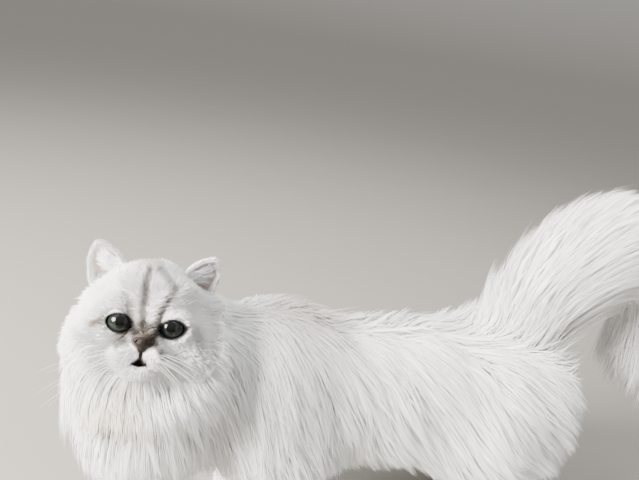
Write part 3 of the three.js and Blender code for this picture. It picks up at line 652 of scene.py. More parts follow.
# Depths of the coat over the skin, and what rump, thigh and cheek add to it.
TORSO_DEPTH, TAIL_DEPTH, LEG_DEPTH, FACE_DEPTH = 33, 58, 7, 5.4
RUMP_MORE, THIGH_MORE, CHEEK_MORE = 22, 6, 7
NAP_DEPTH = 1.4


def torso_form(p):
    rise = (p[:, 2] - CHEST[2]) / np.maximum(np.hypot(p[:, 1], p[:, 2] - CHEST[2]), 1)
    depth = TORSO_DEPTH - 6 * np.maximum(rise, 0) ** 2 + 6 * np.maximum(-rise, 0)
    return torso_flesh(p) - depth - RUMP_MORE * ease(p[:, 0], 112, 185)


face_space = bar(SKULL + FACING * 6, SKULL + FACING * 150, 40, 140)
ruff_form = carve(
    12,
    blend(
        24,
        bar((-192, -27, 208), (-214, -38, 222), 50, 58),
        ball((-237, -42, 226), 75, 62, 60),
        ball((-242, -50, 182), 77, 68, 90),
    ),
    face_space,
)
plume_swell = 0.86 - 0.16 * TAIL_SHARES + 0.18 * np.sin(0.92 * math.pi * TAIL_SHARES)
TAIL_RADII = TAIL_BONE + TAIL_DEPTH * plume_swell
tail_form = blend(
    20, lambda p: (tail_distances(p) - TAIL_RADII).min(axis=1), ball((306, 13, 206), 60, 46, 112),
)


def leg_form(p):
    return leg_flesh(p) - LEG_DEPTH - THIGH_MORE * ease(p[:, 2], 30, 100)


MOUTH_CORNER = at(4, -44, -24)


def from_marks(q):
    """The distance of places of the head from the eyes, the nose and the mouth."""
    both = folded(q, 0)
    return np.minimum.reduce([
        np.linalg.norm(both - EYE, axis=1) - 13,
        np.linalg.norm(q - NOSE, axis=1) - 8,
        np.linalg.norm(both - MOUTH_CORNER, axis=1) - 6,
    ])


def head_form(p):
    q = into_head(p)
    more = CHEEK_MORE * ease(q[:, 1], -28, 4) * (1 - ease(q[:, 2], 18, 42))
    return skull_flesh(q) - NAP_DEPTH - (FACE_DEPTH + more) * ease(from_marks(q), 0, 24)


def torso_lie(p):
    back = 0.32 + 0.62 * ease(p[:, 0], -130, 120)
    side = 0.22 - 0.06 * ease(p[:, 2], 205, 240)
    return np.stack([back, side * np.sign(p[:, 1]), np.full(len(p), -0.85)], -1)


def ruff_lie(p):
    spread = p - SKULL
    spread = unit(spread - (spread @ FACING)[:, None] * FACING)
    return at(0, 0, -0.8) + 0.5 * spread + 0.22 * unit(NECK_LOW - NECK_HIGH)


def tail_lie(p):
    nearest, away = from_tail(p)
    away = unit(away)
    inside = ease(-away[:, 2], -0.2, 0.6) * ease(p[:, 0], 170, 240)
    hang = 0.35 * ease(p[:, 0], 200, 300) + 0.9 * inside
    return TAIL_ALONG[nearest] + 0.3 * away - hang[:, None] * at(0, 0, 1)


def leg_lie(p):
    return np.repeat(at(0.28, 0, -1)[None], len(p), 0)


def head_lie(p):
    q = into_head(p)
    crown = ease(q[:, 2], 6, 36)
    away = unit(q - at(0, -62, -6))
    sweep = np.stack([
        0.35 * np.clip(q[:, 0] / 16, -1, 1) * (1 - crown), 0.35 + 0.7 * crown, -0.5 * (1 - crown),
    ], -1)
    return (away + sweep) @ HEAD_TURN.T


PARTS = {
    "torso": (torso_form, torso_lie),
    "ruff": (ruff_form, ruff_lie),
    "tail": (tail_form, tail_lie),
    "leg": (leg_form, leg_lie),
    "head": (head_form, head_lie),
}


FORM_BLEND = 5


class Coat:
    """The outer form, its way out and the lie, on a grid of places, read between them."""

    def __init__(self, names, low, high, step):
        self.low, self.step = np.array(low, float), step
        counts = np.ceil((np.array(high) - self.low) / step).astype(int) + 1
        axes = [self.low[k] + step * np.arange(counts[k]) for k in range(3)]
        places = np.stack(np.meshgrid(*axes, indexing="ij"), -1).reshape(-1, 3)
        blocks = [self.values(names, block) for block in np.array_split(places, 30)]
        form, lie = (np.concatenate(values) for values in zip(*blocks))
        form = form.reshape(counts)
        out = unit(np.stack(np.gradient(form), -1))
        self.grid = np.concatenate([form[..., None], out, lie.reshape(*counts, 3)], -1)

    @staticmethod
    def values(names, p):
        forms = np.stack([PARTS[name][0](p) for name in names])
        least = forms.min(axis=0)
        weight = np.exp(-(forms - least) / FORM_BLEND)
        lies = np.stack([unit(PARTS[name][1](p)) for name in names])
        form = least - FORM_BLEND * np.log(weight.sum(axis=0))
        return form, unit((weight[..., None] * lies).sum(axis=0))

    def __call__(self, p):
        """Form, way out and lie at each place."""
        place = np.clip((p - self.low) / self.step, 0, np.array(self.grid.shape[:3]) - 1.001)
        cell = place.astype(int)
        part = place - cell
        total = 0
        for corner in np.ndindex(2, 2, 2):
            weight = np.prod(np.where(corner, part, 1 - part), axis=1)
            total = total + weight[:, None] * self.grid[tuple((cell + corner).T)]
        return total[:, 0], unit(total[:, 1:4]), unit(total[:, 4:7])


LINE_STEPS = 11


MOST_PAST = 4  # how far hair may stand out past the depth where it should end
MOST_IN, MOST_OUT = 8, 14  # how far one step may bring it nearer to that depth


def combed(coat, roots, length, rise, stop, turn):
    """Middle lines of hair: they follow the lie and rise from the skin to the outer form."""
    lines = [roots]
    spot = roots
    deep = -coat(roots)[0]
    end = np.full(len(roots), float(LINE_STEPS))
    for i in range(1, LINE_STEPS + 1):
        share = i / LINE_STEPS
        _, out, lie = coat(spot)
        inward = np.minimum((lie * out).sum(1), 0)
        along = unit(lie - inward[:, None] * out)
        bend = turn * (0.4 + share)
        along = along * np.cos(bend)[:, None] + np.cross(out, along) * np.sin(bend)[:, None]
        spot = spot + along * (length / LINE_STEPS)[:, None]
        form, out, _ = coat(spot)
        if share > 0.5:
            past = (form > stop + MOST_PAST) & (end == LINE_STEPS)
            end = np.where(past, float(i), end)
        place = stop - (deep + stop) * (1 - share) ** rise
        kept = np.maximum(place, np.minimum(form, stop + MOST_PAST))
        spot = spot + out * np.clip(kept - form, -MOST_IN, MOST_OUT)[:, None]
        lines.append(spot)
    lines = np.stack(lines, axis=1)
    places = np.linspace(0, 1, LINE_STEPS + 1)[None] * end[:, None]
    low = np.minimum(places.astype(int), LINE_STEPS - 1)
    part = (places - low)[..., None]
    rows = np.arange(len(roots))[:, None]
    return lines[rows, low] * (1 - part) + lines[rows, low + 1] * part


def clumped(lines, every, pull):
    """Draws each line to the nearest of every so many others, more towards its tip."""
    leaders = np.arange(0, len(lines), every)
    tree = KDTree(len(leaders))
    for i, leader in enumerate(leaders):
        tree.insert(lines[leader, 0], i)
    tree.balance()
    chosen = leaders[[tree.find(root)[1] for root in lines[:, 0]]]
    shares = np.linspace(0, 1, lines.shape[1]) ** 1.4
    return lines + (lines[chosen] - lines) * (pull[:, None] * shares)[..., None]


def wander(p, size, key):
    """A smooth draw, from about -1 to 1, that changes over a size in millimetres."""
    draws = np.random.default_rng(key)
    waves = 7
    ways = unit(draws.normal(size=(waves, 3)))
    ways = ways * (2 * math.pi / (size * draws.uniform(1.3, 3, waves)))[:, None]
    return 1.6 * np.sin(p @ ways.T + draws.uniform(0, 2 * math.pi, waves)).mean(axis=1)


ASIDE = 0.15 * at(0.3, -0.9, 0.3)  # keeps a tuft's section open where it points straight out

# Tufts as rings along their length: the share of the way to the tip and of the full width.
LOCK = [(0, 0.6), (0.34, 1), (0.7, 0.75)]
STRAND = [(0, 0.8), (0.4, 1), (0.75, 0.65)]
NAP = [(0, 0.95), (0.5, 0.8)]
PATCH = 0.003  # the size of a tuft's patch on its map


def tufts(name, coat, lines, half, tint, marks_and_shade, shape, flat, unwrap, out=None):
    """One piece of thin, three-sided, tapering tufts along lines, each with its patch on OFBake.

    Their broad sides face the coat's way out, or a way given for each tuft.
    """
    count, sides = len(lines), len(shape)
    shares, taper = (np.array(values) for values in zip(*shape))
    place = shares * (lines.shape[1] - 1)
    low = place.astype(int)
    part = (place - low)[:, None]
    centres = lines[:, low] * (1 - part) + lines[:, low + 1] * part
    along = unit(lines[:, low + 1] - lines[:, np.maximum(low - 1, 0)])
    out = coat(centres.reshape(-1, 3))[1].reshape(centres.shape) if out is None else out[:, None]
    across = unit(np.cross(out + ASIDE, along))
    up = np.cross(along, across)
    size = (half[:, None] * taper)[..., None]
    rings = np.stack([
        centres + across * size, centres + up * size * flat, centres - across * size,
    ], axis=2).reshape(count, -1, 3)
    points = np.concatenate([rings, lines[:, -1:]], axis=1)
    pattern, below = [(0, 2, 1)], [False]
    for k in range(sides):
        for j in range(3):
            a, b = 3 * k + j, 3 * k + (j + 1) % 3
            added = [(a, b, 3 * sides)] if k == sides - 1 else [(a, b, b + 3), (a, b + 3, a + 3)]
            pattern += added
            below += [j == 2] * len(added)
    first = (np.arange(count) * points.shape[1])[:, None, None]
    faces = (np.array(pattern)[None] + first).reshape(-1, 3)
    made = mesh_of(name, points.reshape(-1, 3), faces)
    lean = 0.35 * np.stack([across, up, -across], axis=2)
    above = unit(up[:, :, None] + lean).reshape(count, -1, 3)
    above = np.concatenate([above, up[:, -1:]], axis=1)[:, pattern]
    under = np.concatenate([np.repeat(-up, 3, axis=1), -up[:, -1:]], axis=1)[:, pattern]
    normals = np.where(np.array(below)[None, :, None, None], under, above)
    made.data.normals_split_custom_set(normals.reshape(-1, 3))
    middle = np.concatenate([centres, lines[:, -1:]], axis=1)
    shade = marks_and_shade(middle.reshape(-1, 3)).reshape(middle.shape) * tint[:, None, None]
    shade = np.concatenate([np.repeat(shade[:, :-1], 3, axis=1), shade[:, -1:]], axis=1)
    paint(made, shade.reshape(-1, 3))
    aside = np.append(np.tile([0.5, 0.0, -0.5], sides), 0.0)
    rise = np.append(np.repeat(shares, 3), 1.0) - 0.5
    patches = unwrap(lines[:, 0])[:, None] + PATCH * np.stack([aside, rise], -1)[None]
    chart(made, "OFBake", patches.reshape(-1, 2))
    return made


def chart(made, name, places):
    """A UV map from a place for each vertex."""
    corners = np.empty(len(made.data.loops), np.int32)
    made.data.loops.foreach_get("vertex_index", corners)
    layer = made.data.uv_layers.new(name=name)
    layer.data.foreach_set("uv", places[corners].astype(np.float32).ravel())


# Colours of the markings and of the painted shade, one for each point.
def paint(made, colours):
    layer = made.data.color_attributes.new("markings_and_shade", "FLOAT_COLOR", "POINT")
    values = np.concatenate([colours, np.ones((len(colours), 1))], axis=1)
    layer.data.foreach_set("color", values.astype(np.float32).ravel())


# Materials.


def node(tree, kind, inputs=None, **settings):
    made = tree.nodes.new(kind)
    for name, value in settings.items():
        setattr(made, name, value)
    for name, value in (inputs or {}).items():
        if isinstance(value, bpy.types.NodeSocket):
            tree.links.new(value, made.inputs[name])
        else:
            made.inputs[name].default_value = value
    return made


def material(name, build):
    made = bpy.data.materials.new(name)
    made.use_nodes = True
    tree = made.node_tree
    tree.nodes.clear()
    shader = build(tree)
    node(tree, "ShaderNodeOutputMaterial", {"Surface": shader.outputs[0]})
    return made


def flat_colour(code):
    return (*linear(code), 1)


def hair_looks(tree):
    marks_and_shade = node(tree, "ShaderNodeAttribute", attribute_name="markings_and_shade")
    places = node(tree, "ShaderNodeTexCoord")
    # Light and dark runs of hair, 2.4 mm across.
    runs = node(tree, "ShaderNodeTexNoise", {"Vector": places.outputs["Object"], "Scale": 420.0})
    tone = node(tree, "ShaderNodeMapRange", {
        "Value": runs.outputs["Fac"], "To Min": 0.95, "To Max": 1.03,
    })
    toned = node(
        tree, "ShaderNodeVectorMath", {0: marks_and_shade.outputs["Color"], 1: tone.outputs["Result"]},
        operation="MULTIPLY",
    )
    return node(tree, "ShaderNodeBsdfPrincipled", {
        "Base Color": toned.outputs["Vector"], "Roughness": 0.6, "Specular IOR Level": 0.3,
        "Sheen Weight": 0.25, "Sheen Roughness": 0.5,
    })


def skin_looks(tree):
    marks_and_shade = node(tree, "ShaderNodeAttribute", attribute_name="markings_and_shade")
    places = node(tree, "ShaderNodeTexCoord")
    # Down, 1.1 mm from hair to hair.
    down_hair = node(tree, "ShaderNodeTexNoise", {
        "Vector": places.outputs["Object"], "Scale": 900.0,
    })
    bump = node(tree, "ShaderNodeBump", {
        "Height": down_hair.outputs["Fac"], "Strength": 0.5, "Distance": 0.0006,
    })
    return node(tree, "ShaderNodeBsdfPrincipled", {
        "Base Color": marks_and_shade.outputs["Color"], "Roughness": 0.65, "Specular IOR Level": 0.3,
        "Normal": bump.outputs["Normal"],
    })


def leather_looks(tree):
    places = node(tree, "ShaderNodeTexCoord")
    # Pebbles of the leather, 0.7 mm across.
    pebbles = node(tree, "ShaderNodeTexVoronoi", {
        "Vector": places.outputs["Object"], "Scale": 1500.0,
    })
    tone = node(tree, "ShaderNodeMixRGB", {
        "Fac": pebbles.outputs["Distance"], "Color1": flat_colour("2b2321"),
        "Color2": flat_colour("181312"),
    })
    bump = node(tree, "ShaderNodeBump", {
        "Height": pebbles.outputs["Distance"], "Strength": 0.5, "Distance": 0.0003,
    })
    return node(tree, "ShaderNodeBsdfPrincipled", {
        "Base Color": tone.outputs["Color"], "Roughness": 0.5, "Specular IOR Level": 0.2,
        "Normal": bump.outputs["Normal"],
    })


def eye_looks(tree):
    """The iris on the eye's own map, whose middle is the pupil and whose edge is the globe's."""
    gaze = node(tree, "ShaderNodeUVMap", uv_map="gaze")
    middle = (0.5, 0.5, 0)
    centred = node(
        tree, "ShaderNodeVectorMath", {0: gaze.outputs["UV"], 1: middle}, operation="SUBTRACT",
    ).outputs["Vector"]
    reach = node(
        tree, "ShaderNodeVectorMath", {0: centred}, operation="LENGTH",
    ).outputs["Value"]
    parts = node(tree, "ShaderNodeSeparateXYZ", {"Vector": centred})
    turn = node(
        tree, "ShaderNodeMath", {0: parts.outputs["Y"], 1: parts.outputs["X"]}, operation="ARCTAN2",
    )
    ray = node(tree, "ShaderNodeCombineXYZ", {"X": turn.outputs["Value"], "Y": reach})
    # Fibres of the iris, 0.2 mm apart half way out to the globe's edge and 1.2 mm long.
    drawn = node(
        tree, "ShaderNodeVectorMath", {0: ray.outputs["Vector"], 1: (7, 5, 1)},
        operation="MULTIPLY",
    )
    fibres = node(tree, "ShaderNodeTexNoise", {
        "Vector": drawn.outputs["Vector"], "Scale": 4.0, "Detail": 6.0,
    })
    iris = node(tree, "ShaderNodeMixRGB", {
        "Fac": fibres.outputs["Fac"], "Color1": flat_colour("0e1211"),
        "Color2": flat_colour("2b322e"),
    })
    rounded = node(
        tree, "ShaderNodeVectorMath", {0: centred, 1: (PUPIL_TALL / PUPIL_WIDE, 1, 1)},
        operation="MULTIPLY",
    )
    wide = node(
        tree, "ShaderNodeVectorMath", {0: rounded.outputs["Vector"]}, operation="LENGTH",
    )
    half, edge = PUPIL_TALL / (4 * EYE_RADIUS), 0.012
    pupil = node(tree, "ShaderNodeMapRange", {
        "Value": wide.outputs["Value"], "From Min": half - edge, "From Max": half + edge,
    })
    limbus = node(tree, "ShaderNodeMapRange", {
        "Value": reach, "From Min": 0.35, "From Max": 0.42, "To Min": 1.0, "To Max": 0.0,
    })
    shown = node(
        tree, "ShaderNodeMath", {0: pupil.outputs["Result"], 1: limbus.outputs["Result"]},
        operation="MULTIPLY",
    )
    colour = node(tree, "ShaderNodeMixRGB", {
        "Fac": shown.outputs["Value"], "Color1": flat_colour("080707"),
        "Color2": iris.outputs["Color"],
    })
    return node(tree, "ShaderNodeBsdfPrincipled", {
        "Base Color": colour.outputs["Color"], "Roughness": 0.04, "IOR": 1.376,
    })


def floor_looks(tree):
    places = node(tree, "ShaderNodeTexCoord")
    # Cloudy paint, 330 mm from light to dark.
    grain = node(tree, "ShaderNodeTexNoise", {"Vector": places.outputs["Object"], "Scale": 3.0})
    tone = node(tree, "ShaderNodeMixRGB", {
        "Fac": grain.outputs["Fac"], "Color1": flat_colour("9a9690"),
        "Color2": flat_colour("9e9a94"),
    })
    return node(tree, "ShaderNodeBsdfPrincipled", {
        "Base Color": tone.outputs["Color"], "Roughness": 0.9, "Specular IOR Level": 0.0,
    })


# White guard hair, translucent keratin: soft, pale and a little silky.
guard_hair = material("white_guard_hair", hair_looks)
# Living skin under short white down: matt, with the down as its grain.
skin = material("downy_skin", skin_looks)
# Damp nose leather: dark, pebbled and half glossy.
leather = material("nose_leather", leather_looks)
# Cornea and iris: wet and clear over grey-green fibres.
wet_eye = material("wet_eye", eye_looks)
# Pale painted studio floor: even and matt.
floor_paint = material("floor_paint", floor_looks)


# Camera, light and floor.

# The width of the picture and the focal length in pixels, and the sensor's width.
PICTURE_WIDTH, VIEW_PIXELS, SENSOR = 639, 565, 36
CAMERA_PLACE, CAMERA_YAW = at(-226, -479, 500), math.radians(14.3)
# The way up as the camera has it: to its right, up the picture and back from its gaze.
UP_IN_VIEW = at(0.1527, 0.9304, 0.3331)


def add(name, data):
    made = bpy.data.objects.new(name, data)
    bpy.context.scene.collection.objects.link(made)
    return made


def make_camera():
    up = unit(UP_IN_VIEW)
    gaze = at(0, 0, -1)
    ahead = unit(gaze - (gaze @ up) * up)
    axes = turned((-CAMERA_YAW, "Z")) @ np.stack([np.cross(ahead, up), ahead, up])
    data = bpy.data.cameras.new("camera")
    data.sensor_width = SENSOR
    data.lens = SENSOR * VIEW_PIXELS / PICTURE_WIDTH
    made = add("camera", data)
    made.matrix_world = Matrix.Translation((CAMERA_PLACE + SHIFT) / 1000) @ Matrix(axes).to_4x4()
    bpy.context.scene.camera = made


def area_light(name, place, target, size, power, colour):
    data = bpy.data.lights.new(name, "AREA")
    data.shape, data.size = "DISK", size
    data.energy, data.color = power, linear(colour)
    made = add(name, data)
    made.location = place
    made.rotation_mode = "QUATERNION"
    made.rotation_quaternion = Vector(at(*target) - at(*place)).to_track_quat("-Z", "Y")


def make_world(strength, floor_tone):
    """A sky with at the horizon the light of the floor under it, so that no line shows there."""
    made = bpy.data.worlds.new("studio")
    bpy.context.scene.world = made
    made.use_nodes = True
    tree = made.node_tree
    tree.nodes.clear()
    way = node(tree, "ShaderNodeTexCoord")
    parts = node(tree, "ShaderNodeSeparateXYZ", {"Vector": way.outputs["Generated"]})
    horizon = (2 * floor_tone / 3) / (1 - floor_tone / 3)
    tone = node(tree, "ShaderNodeMixRGB", {
        "Fac": parts.outputs["Z"], "Color1": (*horizon, 1), "Color2": flat_colour("ffffff"),
    })
    sky = node(tree, "ShaderNodeBackground", {"Color": tone.outputs["Color"], "Strength": strength})
    node(tree, "ShaderNodeOutputWorld", {"Surface": sky.outputs[0]})


make_camera()
# Places and sizes in metres, power in watts.
area_light("window", (-1.8, -0.55, 1.1), (-0.2, 0, 0.2), size=1.0, power=225, colour="fffaf2")
area_light("fill", (1.4, -1.2, 0.9), (0, 0, 0.2), size=1.6, power=4, colour="e8eefc")
area_light("top", (0.2, 0.5, 1.9), (0, 0, 0.2), size=1.2, power=22, colour="ffffff")
make_world(strength=1.08, floor_tone=linear("9c9892"))

FLOOR_REACH = 200
corners = [(x * FLOOR_REACH, y * FLOOR_REACH, 0) for x, y in ((-1, -1), (1, -1), (1, 1), (-1, 1))]
floor_mesh = bpy.data.meshes.new("floor")
floor_mesh.from_pydata(corners, [], [(0, 1, 2, 3)])
floor_mesh.materials.append(floor_paint)
floor = add("floor", floor_mesh)


def show(made, looks, slot, *nodes):
    """Gives a piece its material and its place among the solids."""
    made.data.materials.clear()
    made.data.materials.append(looks)
    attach(made, BODY)
    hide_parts(*nodes)


# Skin.

body_points, body_squares = skin_of(body_flesh, (-282, -90, -5), (342, 90, 366), size=3.0)
body_skin = mesh_of("skin", body_points, tris_of(body_squares))
face_points, face_squares = skin_of(face_flesh, (-56, -58, -46), (56, 52, 57), size=0.9)
face_skin = mesh_of("face", out_of_head(face_points), tris_of(face_squares))
whole_skin = fused(face_skin, [body_skin, ear_shell(1), ear_shell(-1)])
whole_skin.name = "skin"
skin_points = places_of(whole_skin)
paint(whole_skin, skin_markings_and_shade(skin_points))
whole_skin.data.polygons.foreach_set("use_smooth", np.ones(len(whole_skin.data.polygons), bool))
FLESH_NODES = [name for name in frame["nodes"] if not name.startswith(("eye", "nose"))]
show(whole_skin, skin, "coat", *FLESH_NODES)


# Roots of the hair, spread over the skin.

rng = np.random.default_rng(8)
body_coat = Coat(["torso", "ruff", "tail", "leg"], (-340, -135, -10), (385, 115, 425), step=5)
head_coat = Coat(["torso", "ruff", "head"], SKULL - 84, SKULL + 84, step=3)

triangles = triangles_of(whole_skin)
corner_a, corner_b, corner_c = (skin_points[triangles[:, k]] for k in range(3))
facing = np.cross(corner_b - corner_a, corner_c - corner_a)
areas = np.linalg.norm(facing, axis=1) / 2
facing = unit(facing)
centres = (corner_a + corner_b + corner_c) / 3


def spread(weight, count):
    """Roots over the skin's triangles, by weight for each square millimetre, and their ways out."""
    chance = areas * weight
    chosen = rng.choice(len(areas), count, p=chance / chance.sum())
    a, b = rng.random(count), rng.random(count)
    a, b = np.where(a + b > 1, 1 - a, a)[:, None], np.where(a + b > 1, 1 - b, b)[:, None]
    a_side = corner_b[chosen] - corner_a[chosen]
    b_side = corner_c[chosen] - corner_a[chosen]
    return corner_a[chosen] + a * a_side + b * b_side, facing[chosen]


head_places = into_head(centres)
skull_gap = skull_flesh(head_places)
on_ear = (
    (skull_gap > 2.2) & (head_places[:, 2] > 24) & (np.abs(head_places[:, 0]) > 18)
    & (np.linalg.norm(head_places, axis=1) < 100)
)
on_head = (skull_gap < 3) & (np.linalg.norm(head_places, axis=1) < 80) & ~on_ear
on_tail = (tail_flesh(centres) < 1.5) & (torso_flesh(centres) > 2)
on_leg = (leg_flesh(centres) < 1) & (torso_flesh(centres) > 1)
on_neck = (neck_flesh(centres) < 2) & ~on_head & ~on_ear & (torso_flesh(centres) > -1)
on_torso = (torso_flesh(centres) < 4) & ~(on_head | on_ear | on_tail | on_leg | on_neck)


# Unwraps of the skin's shape, each to the square from 0 to 1.

MAP_EDGE = 0.01


def turn_of(y, x):
    return np.arctan2(y, x) / (2 * math.pi) + 0.5


def on_map(across, along):
    return MAP_EDGE + (1 - 2 * MAP_EDGE) * np.clip(np.stack([across, along], -1), 0, 1)


def around(centre, axis_a, axis_b, axis_c, low, high):
    """An unwrap as a sleeve: the angle from axis a to axis b, and the place along axis c."""

    def unwrap(p):
        q = p - centre
        return on_map(turn_of(q @ axis_b, q @ axis_a), (q @ axis_c - low) / (high - low))

    return unwrap


def tail_unwrap(p):
    nearest, away = from_tail(p)
    along = TAIL_ALONG[nearest]
    side = at(0, 1, 0)
    turn = turn_of((away * np.cross(along, side)).sum(1), away @ side)
    step = (away * along).sum(1) / TAIL_STEP + 0.5
    return on_map(turn, (nearest + np.clip(step, 0, 1)) / (TAIL_STEPS + 1))


LEG_TOP = 175


def leg_unwrap(p):
    leg = (p[:, 0] > 0) * 2 + (p[:, 1] > 0)
    middle = np.where(p[:, :1] > 0, at(140, 46, 0), at(-125, 43, 0))
    away = p - middle * np.where(p[:, 1:2] > 0, at(1, 1, 1), at(1, -1, 1))
    turn = turn_of(away[:, 1], away[:, 0])
    return on_map((leg + 0.04 + 0.92 * turn) / 4, p[:, 2] / LEG_TOP)


neck_way = unit(NECK_LOW - NECK_HIGH)
torso_unwrap = around(at(0, 0, CHEST[2]), at(0, 0, 1), at(0, 1, 0), at(1, 0, 0), -215, 200)
ruff_unwrap = around(
    NECK_HIGH, at(0, 0, 1), unit(np.cross(neck_way, at(0, 0, 1))), neck_way, -60, 130,
)
head_unwrap = around(SKULL, -HEAD_TURN[:, 1], HEAD_TURN[:, 0], HEAD_TURN[:, 2], -50, 96)


# Growing.

LARGEST_PIECE = 192000  # triangles
FLOOR_CLEAR = 1.8
LEG_HAIRS, FACE_HAIRS, CHEEK_HAIRS, EAR_HAIRS, EAR_STRANDS = 7500, 21000, 11000, 3400, 260
EAR_NODES = ["ear_left", "ear_right"]
LEG_NODES = [name for name in frame["nodes"] if name.startswith("leg")]
TAIL_NODES = [name for name in frame["nodes"] if name.startswith("tail")]


def laid(name, coat, lines, half, marks_and_shade, shape, flat, unwrap, nodes, out=None):
    """Pieces of tufts along lines, no piece too large to handle.

    Half is half a tuft's width in millimetres, and flat its thickness as a share of that.
    """
    lines[:, :, 2] = np.maximum(lines[:, :, 2], FLOOR_CLEAR)
    count = len(lines)
    order = np.argsort(lines[:, 0, 0])
    most = LARGEST_PIECE // (6 * len(shape) - 2)
    half = half * rng.uniform(0.75, 1.2, count)
    tint = rng.uniform(0.93, 1.0, count)
    blocks = np.array_split(order, math.ceil(count / most))
    for letter, chosen in zip("abcdefgh", blocks):
        label = name if len(blocks) == 1 else f"{name}_{letter}"
        made = tufts(
            label, coat, lines[chosen], half[chosen], tint[chosen], marks_and_shade, shape, flat, unwrap,
            None if out is None else out[chosen],
        )
        show(made, guard_hair, "coat", *nodes)


def combed_out(coat, roots, length, rise, sunk, clumps, key):
    """Lines of hair that end at many depths, swerve together and draw together in locks.

    Rise is how early they come up to the outer form, sunk how deep under it some end.
    """
    count = len(roots)
    deep = -coat(roots)[0]
    stop = -deep * sunk * rng.random(count) ** 1.5 + 2.6 * wander(roots, 12, key)
    stop = np.maximum(stop - 2 + rng.normal(0, 0.9, count), -deep + 2)
    turn = 0.2 * wander(roots, 28, key + 1) + rng.normal(0, 0.06, count)
    lines = combed(coat, roots, length * rng.uniform(0.8, 1.12, count), rise, stop, turn)
    for every, pull in clumps:
        lines = clumped(lines, every, np.clip(rng.normal(pull, 0.15, count), 0, 0.95))
    return lines


# Long hair of the body: guard hair over broad flat locks of undercoat, which end deeper.
LOCK_LENGTH, LOCK_SUNK, LOCK_HALF = 0.92, 7, 2.6
LONG_COATS = [
    # name, where, unwrap, nodes, guard hairs, locks, length, rise
    ("torso", on_torso, torso_unwrap, ["torso"], 26000, 2600, 84, 2.1),
    ("ruff", on_neck, ruff_unwrap, ["neck"], 15500, 1500, 98, 3.0),
    ("tail", on_tail, tail_unwrap, TAIL_NODES, 14000, 1500, 122, 2.6),
]
for key, (name, where, unwrap, nodes, hairs, locks, length, rise) in enumerate(LONG_COATS):
    roots = spread(where, locks)[0]
    long = np.full(locks, LOCK_LENGTH * length)
    lines = combed_out(body_coat, roots, long, rise, sunk=0.6, clumps=[], key=40 + key)
    away = body_coat(lines.reshape(-1, 3))[1].reshape(lines.shape)
    lines = lines - away * LOCK_SUNK * np.linspace(0, 1, lines.shape[1])[None, :, None]
    laid(
        f"undercoat_{name}", body_coat, lines, LOCK_HALF, body_markings, LOCK, 0.3, unwrap, nodes,
    )
    roots = spread(where, hairs)[0]
    long = length * (1.3 - 0.3 * ease(roots[:, 2], 115, 165))
    clumps = [(26, 0.38), (6, 0.4)]
    lines = combed_out(body_coat, roots, long, rise, sunk=0.42, clumps=clumps, key=20 + key)
    laid(f"coat_{name}", body_coat, lines, 0.42, body_markings, STRAND, 0.4, unwrap, nodes)

leg_roots = spread(on_leg & (centres[:, 2] > 3), LEG_HAIRS)[0]
leg_length = 9 + 46 * ease(leg_roots[:, 2], 25, 115)
lines = combed_out(
    body_coat, leg_roots, leg_length, rise=1.5, sunk=0.4, clumps=[(20, 0.4)], key=30,
)
laid("coat_legs", body_coat, lines, 0.5, body_markings, NAP, 0.4, leg_unwrap, LEG_NODES)

# Hair of the head: short on the face, long on the cheeks.
both_places = folded(head_places, 0)
bare = (slit(both_places)[0] < 1.0) & (head_places[:, 1] < -20)
bare |= np.linalg.norm((head_places - NOSE - at(0, 0, -2)) / at(8.5, 8, 8), axis=1) < 1
bare |= gape(head_places) < 0.6
hairy = on_head & ~bare


front = ease(-head_places[:, 1], 14, 30)
face_roots = spread((hairy & (head_places[:, 1] < 12)) * (1 + 2 * front), FACE_HAIRS)[0]
q = into_head(face_roots)
behind = ease(q[:, 1], -34, 2) * (1 - 0.5 * ease(q[:, 2], 20, 44))
face_length = 2.8 + 2.2 * ease(from_marks(q), 0, 20) + 13 * behind
lines = combed_out(
    head_coat, face_roots, face_length, rise=1.5, sunk=0.25, clumps=[(14, 0.2)], key=31,
)
laid("coat_face", head_coat, lines, 0.3, markings_and_shade, NAP, 0.5, head_unwrap, ["head"])

on_cheek = (head_places[:, 1] > -24) & (head_places[:, 2] < 34 + 2 * head_places[:, 1])
on_jaw = (head_places[:, 1] > -36) & (head_places[:, 2] < -26)
cheek_roots = spread((hairy & (on_cheek | on_jaw)) * (1 + 1.5 * on_jaw), CHEEK_HAIRS)[0]
q = into_head(cheek_roots)
cheek_length = 14 + 22 * ease(q[:, 1], -22, 6) + 46 * ease(-q[:, 2], 8, 30)
cheek_length = np.minimum(cheek_length + 44 * ease(q[:, 1], -4, 22), 88)
cheek_length = cheek_length * rng.uniform(0.55, 1.15, len(cheek_roots))
clumps = [(22, 0.35), (6, 0.35)]
lines = combed_out(
    head_coat, cheek_roots, cheek_length, rise=1.7, sunk=0.4, clumps=clumps, key=32,
)
laid("coat_cheeks", head_coat, lines, 0.38, markings_and_shade, STRAND, 0.4, head_unwrap, ["head"])

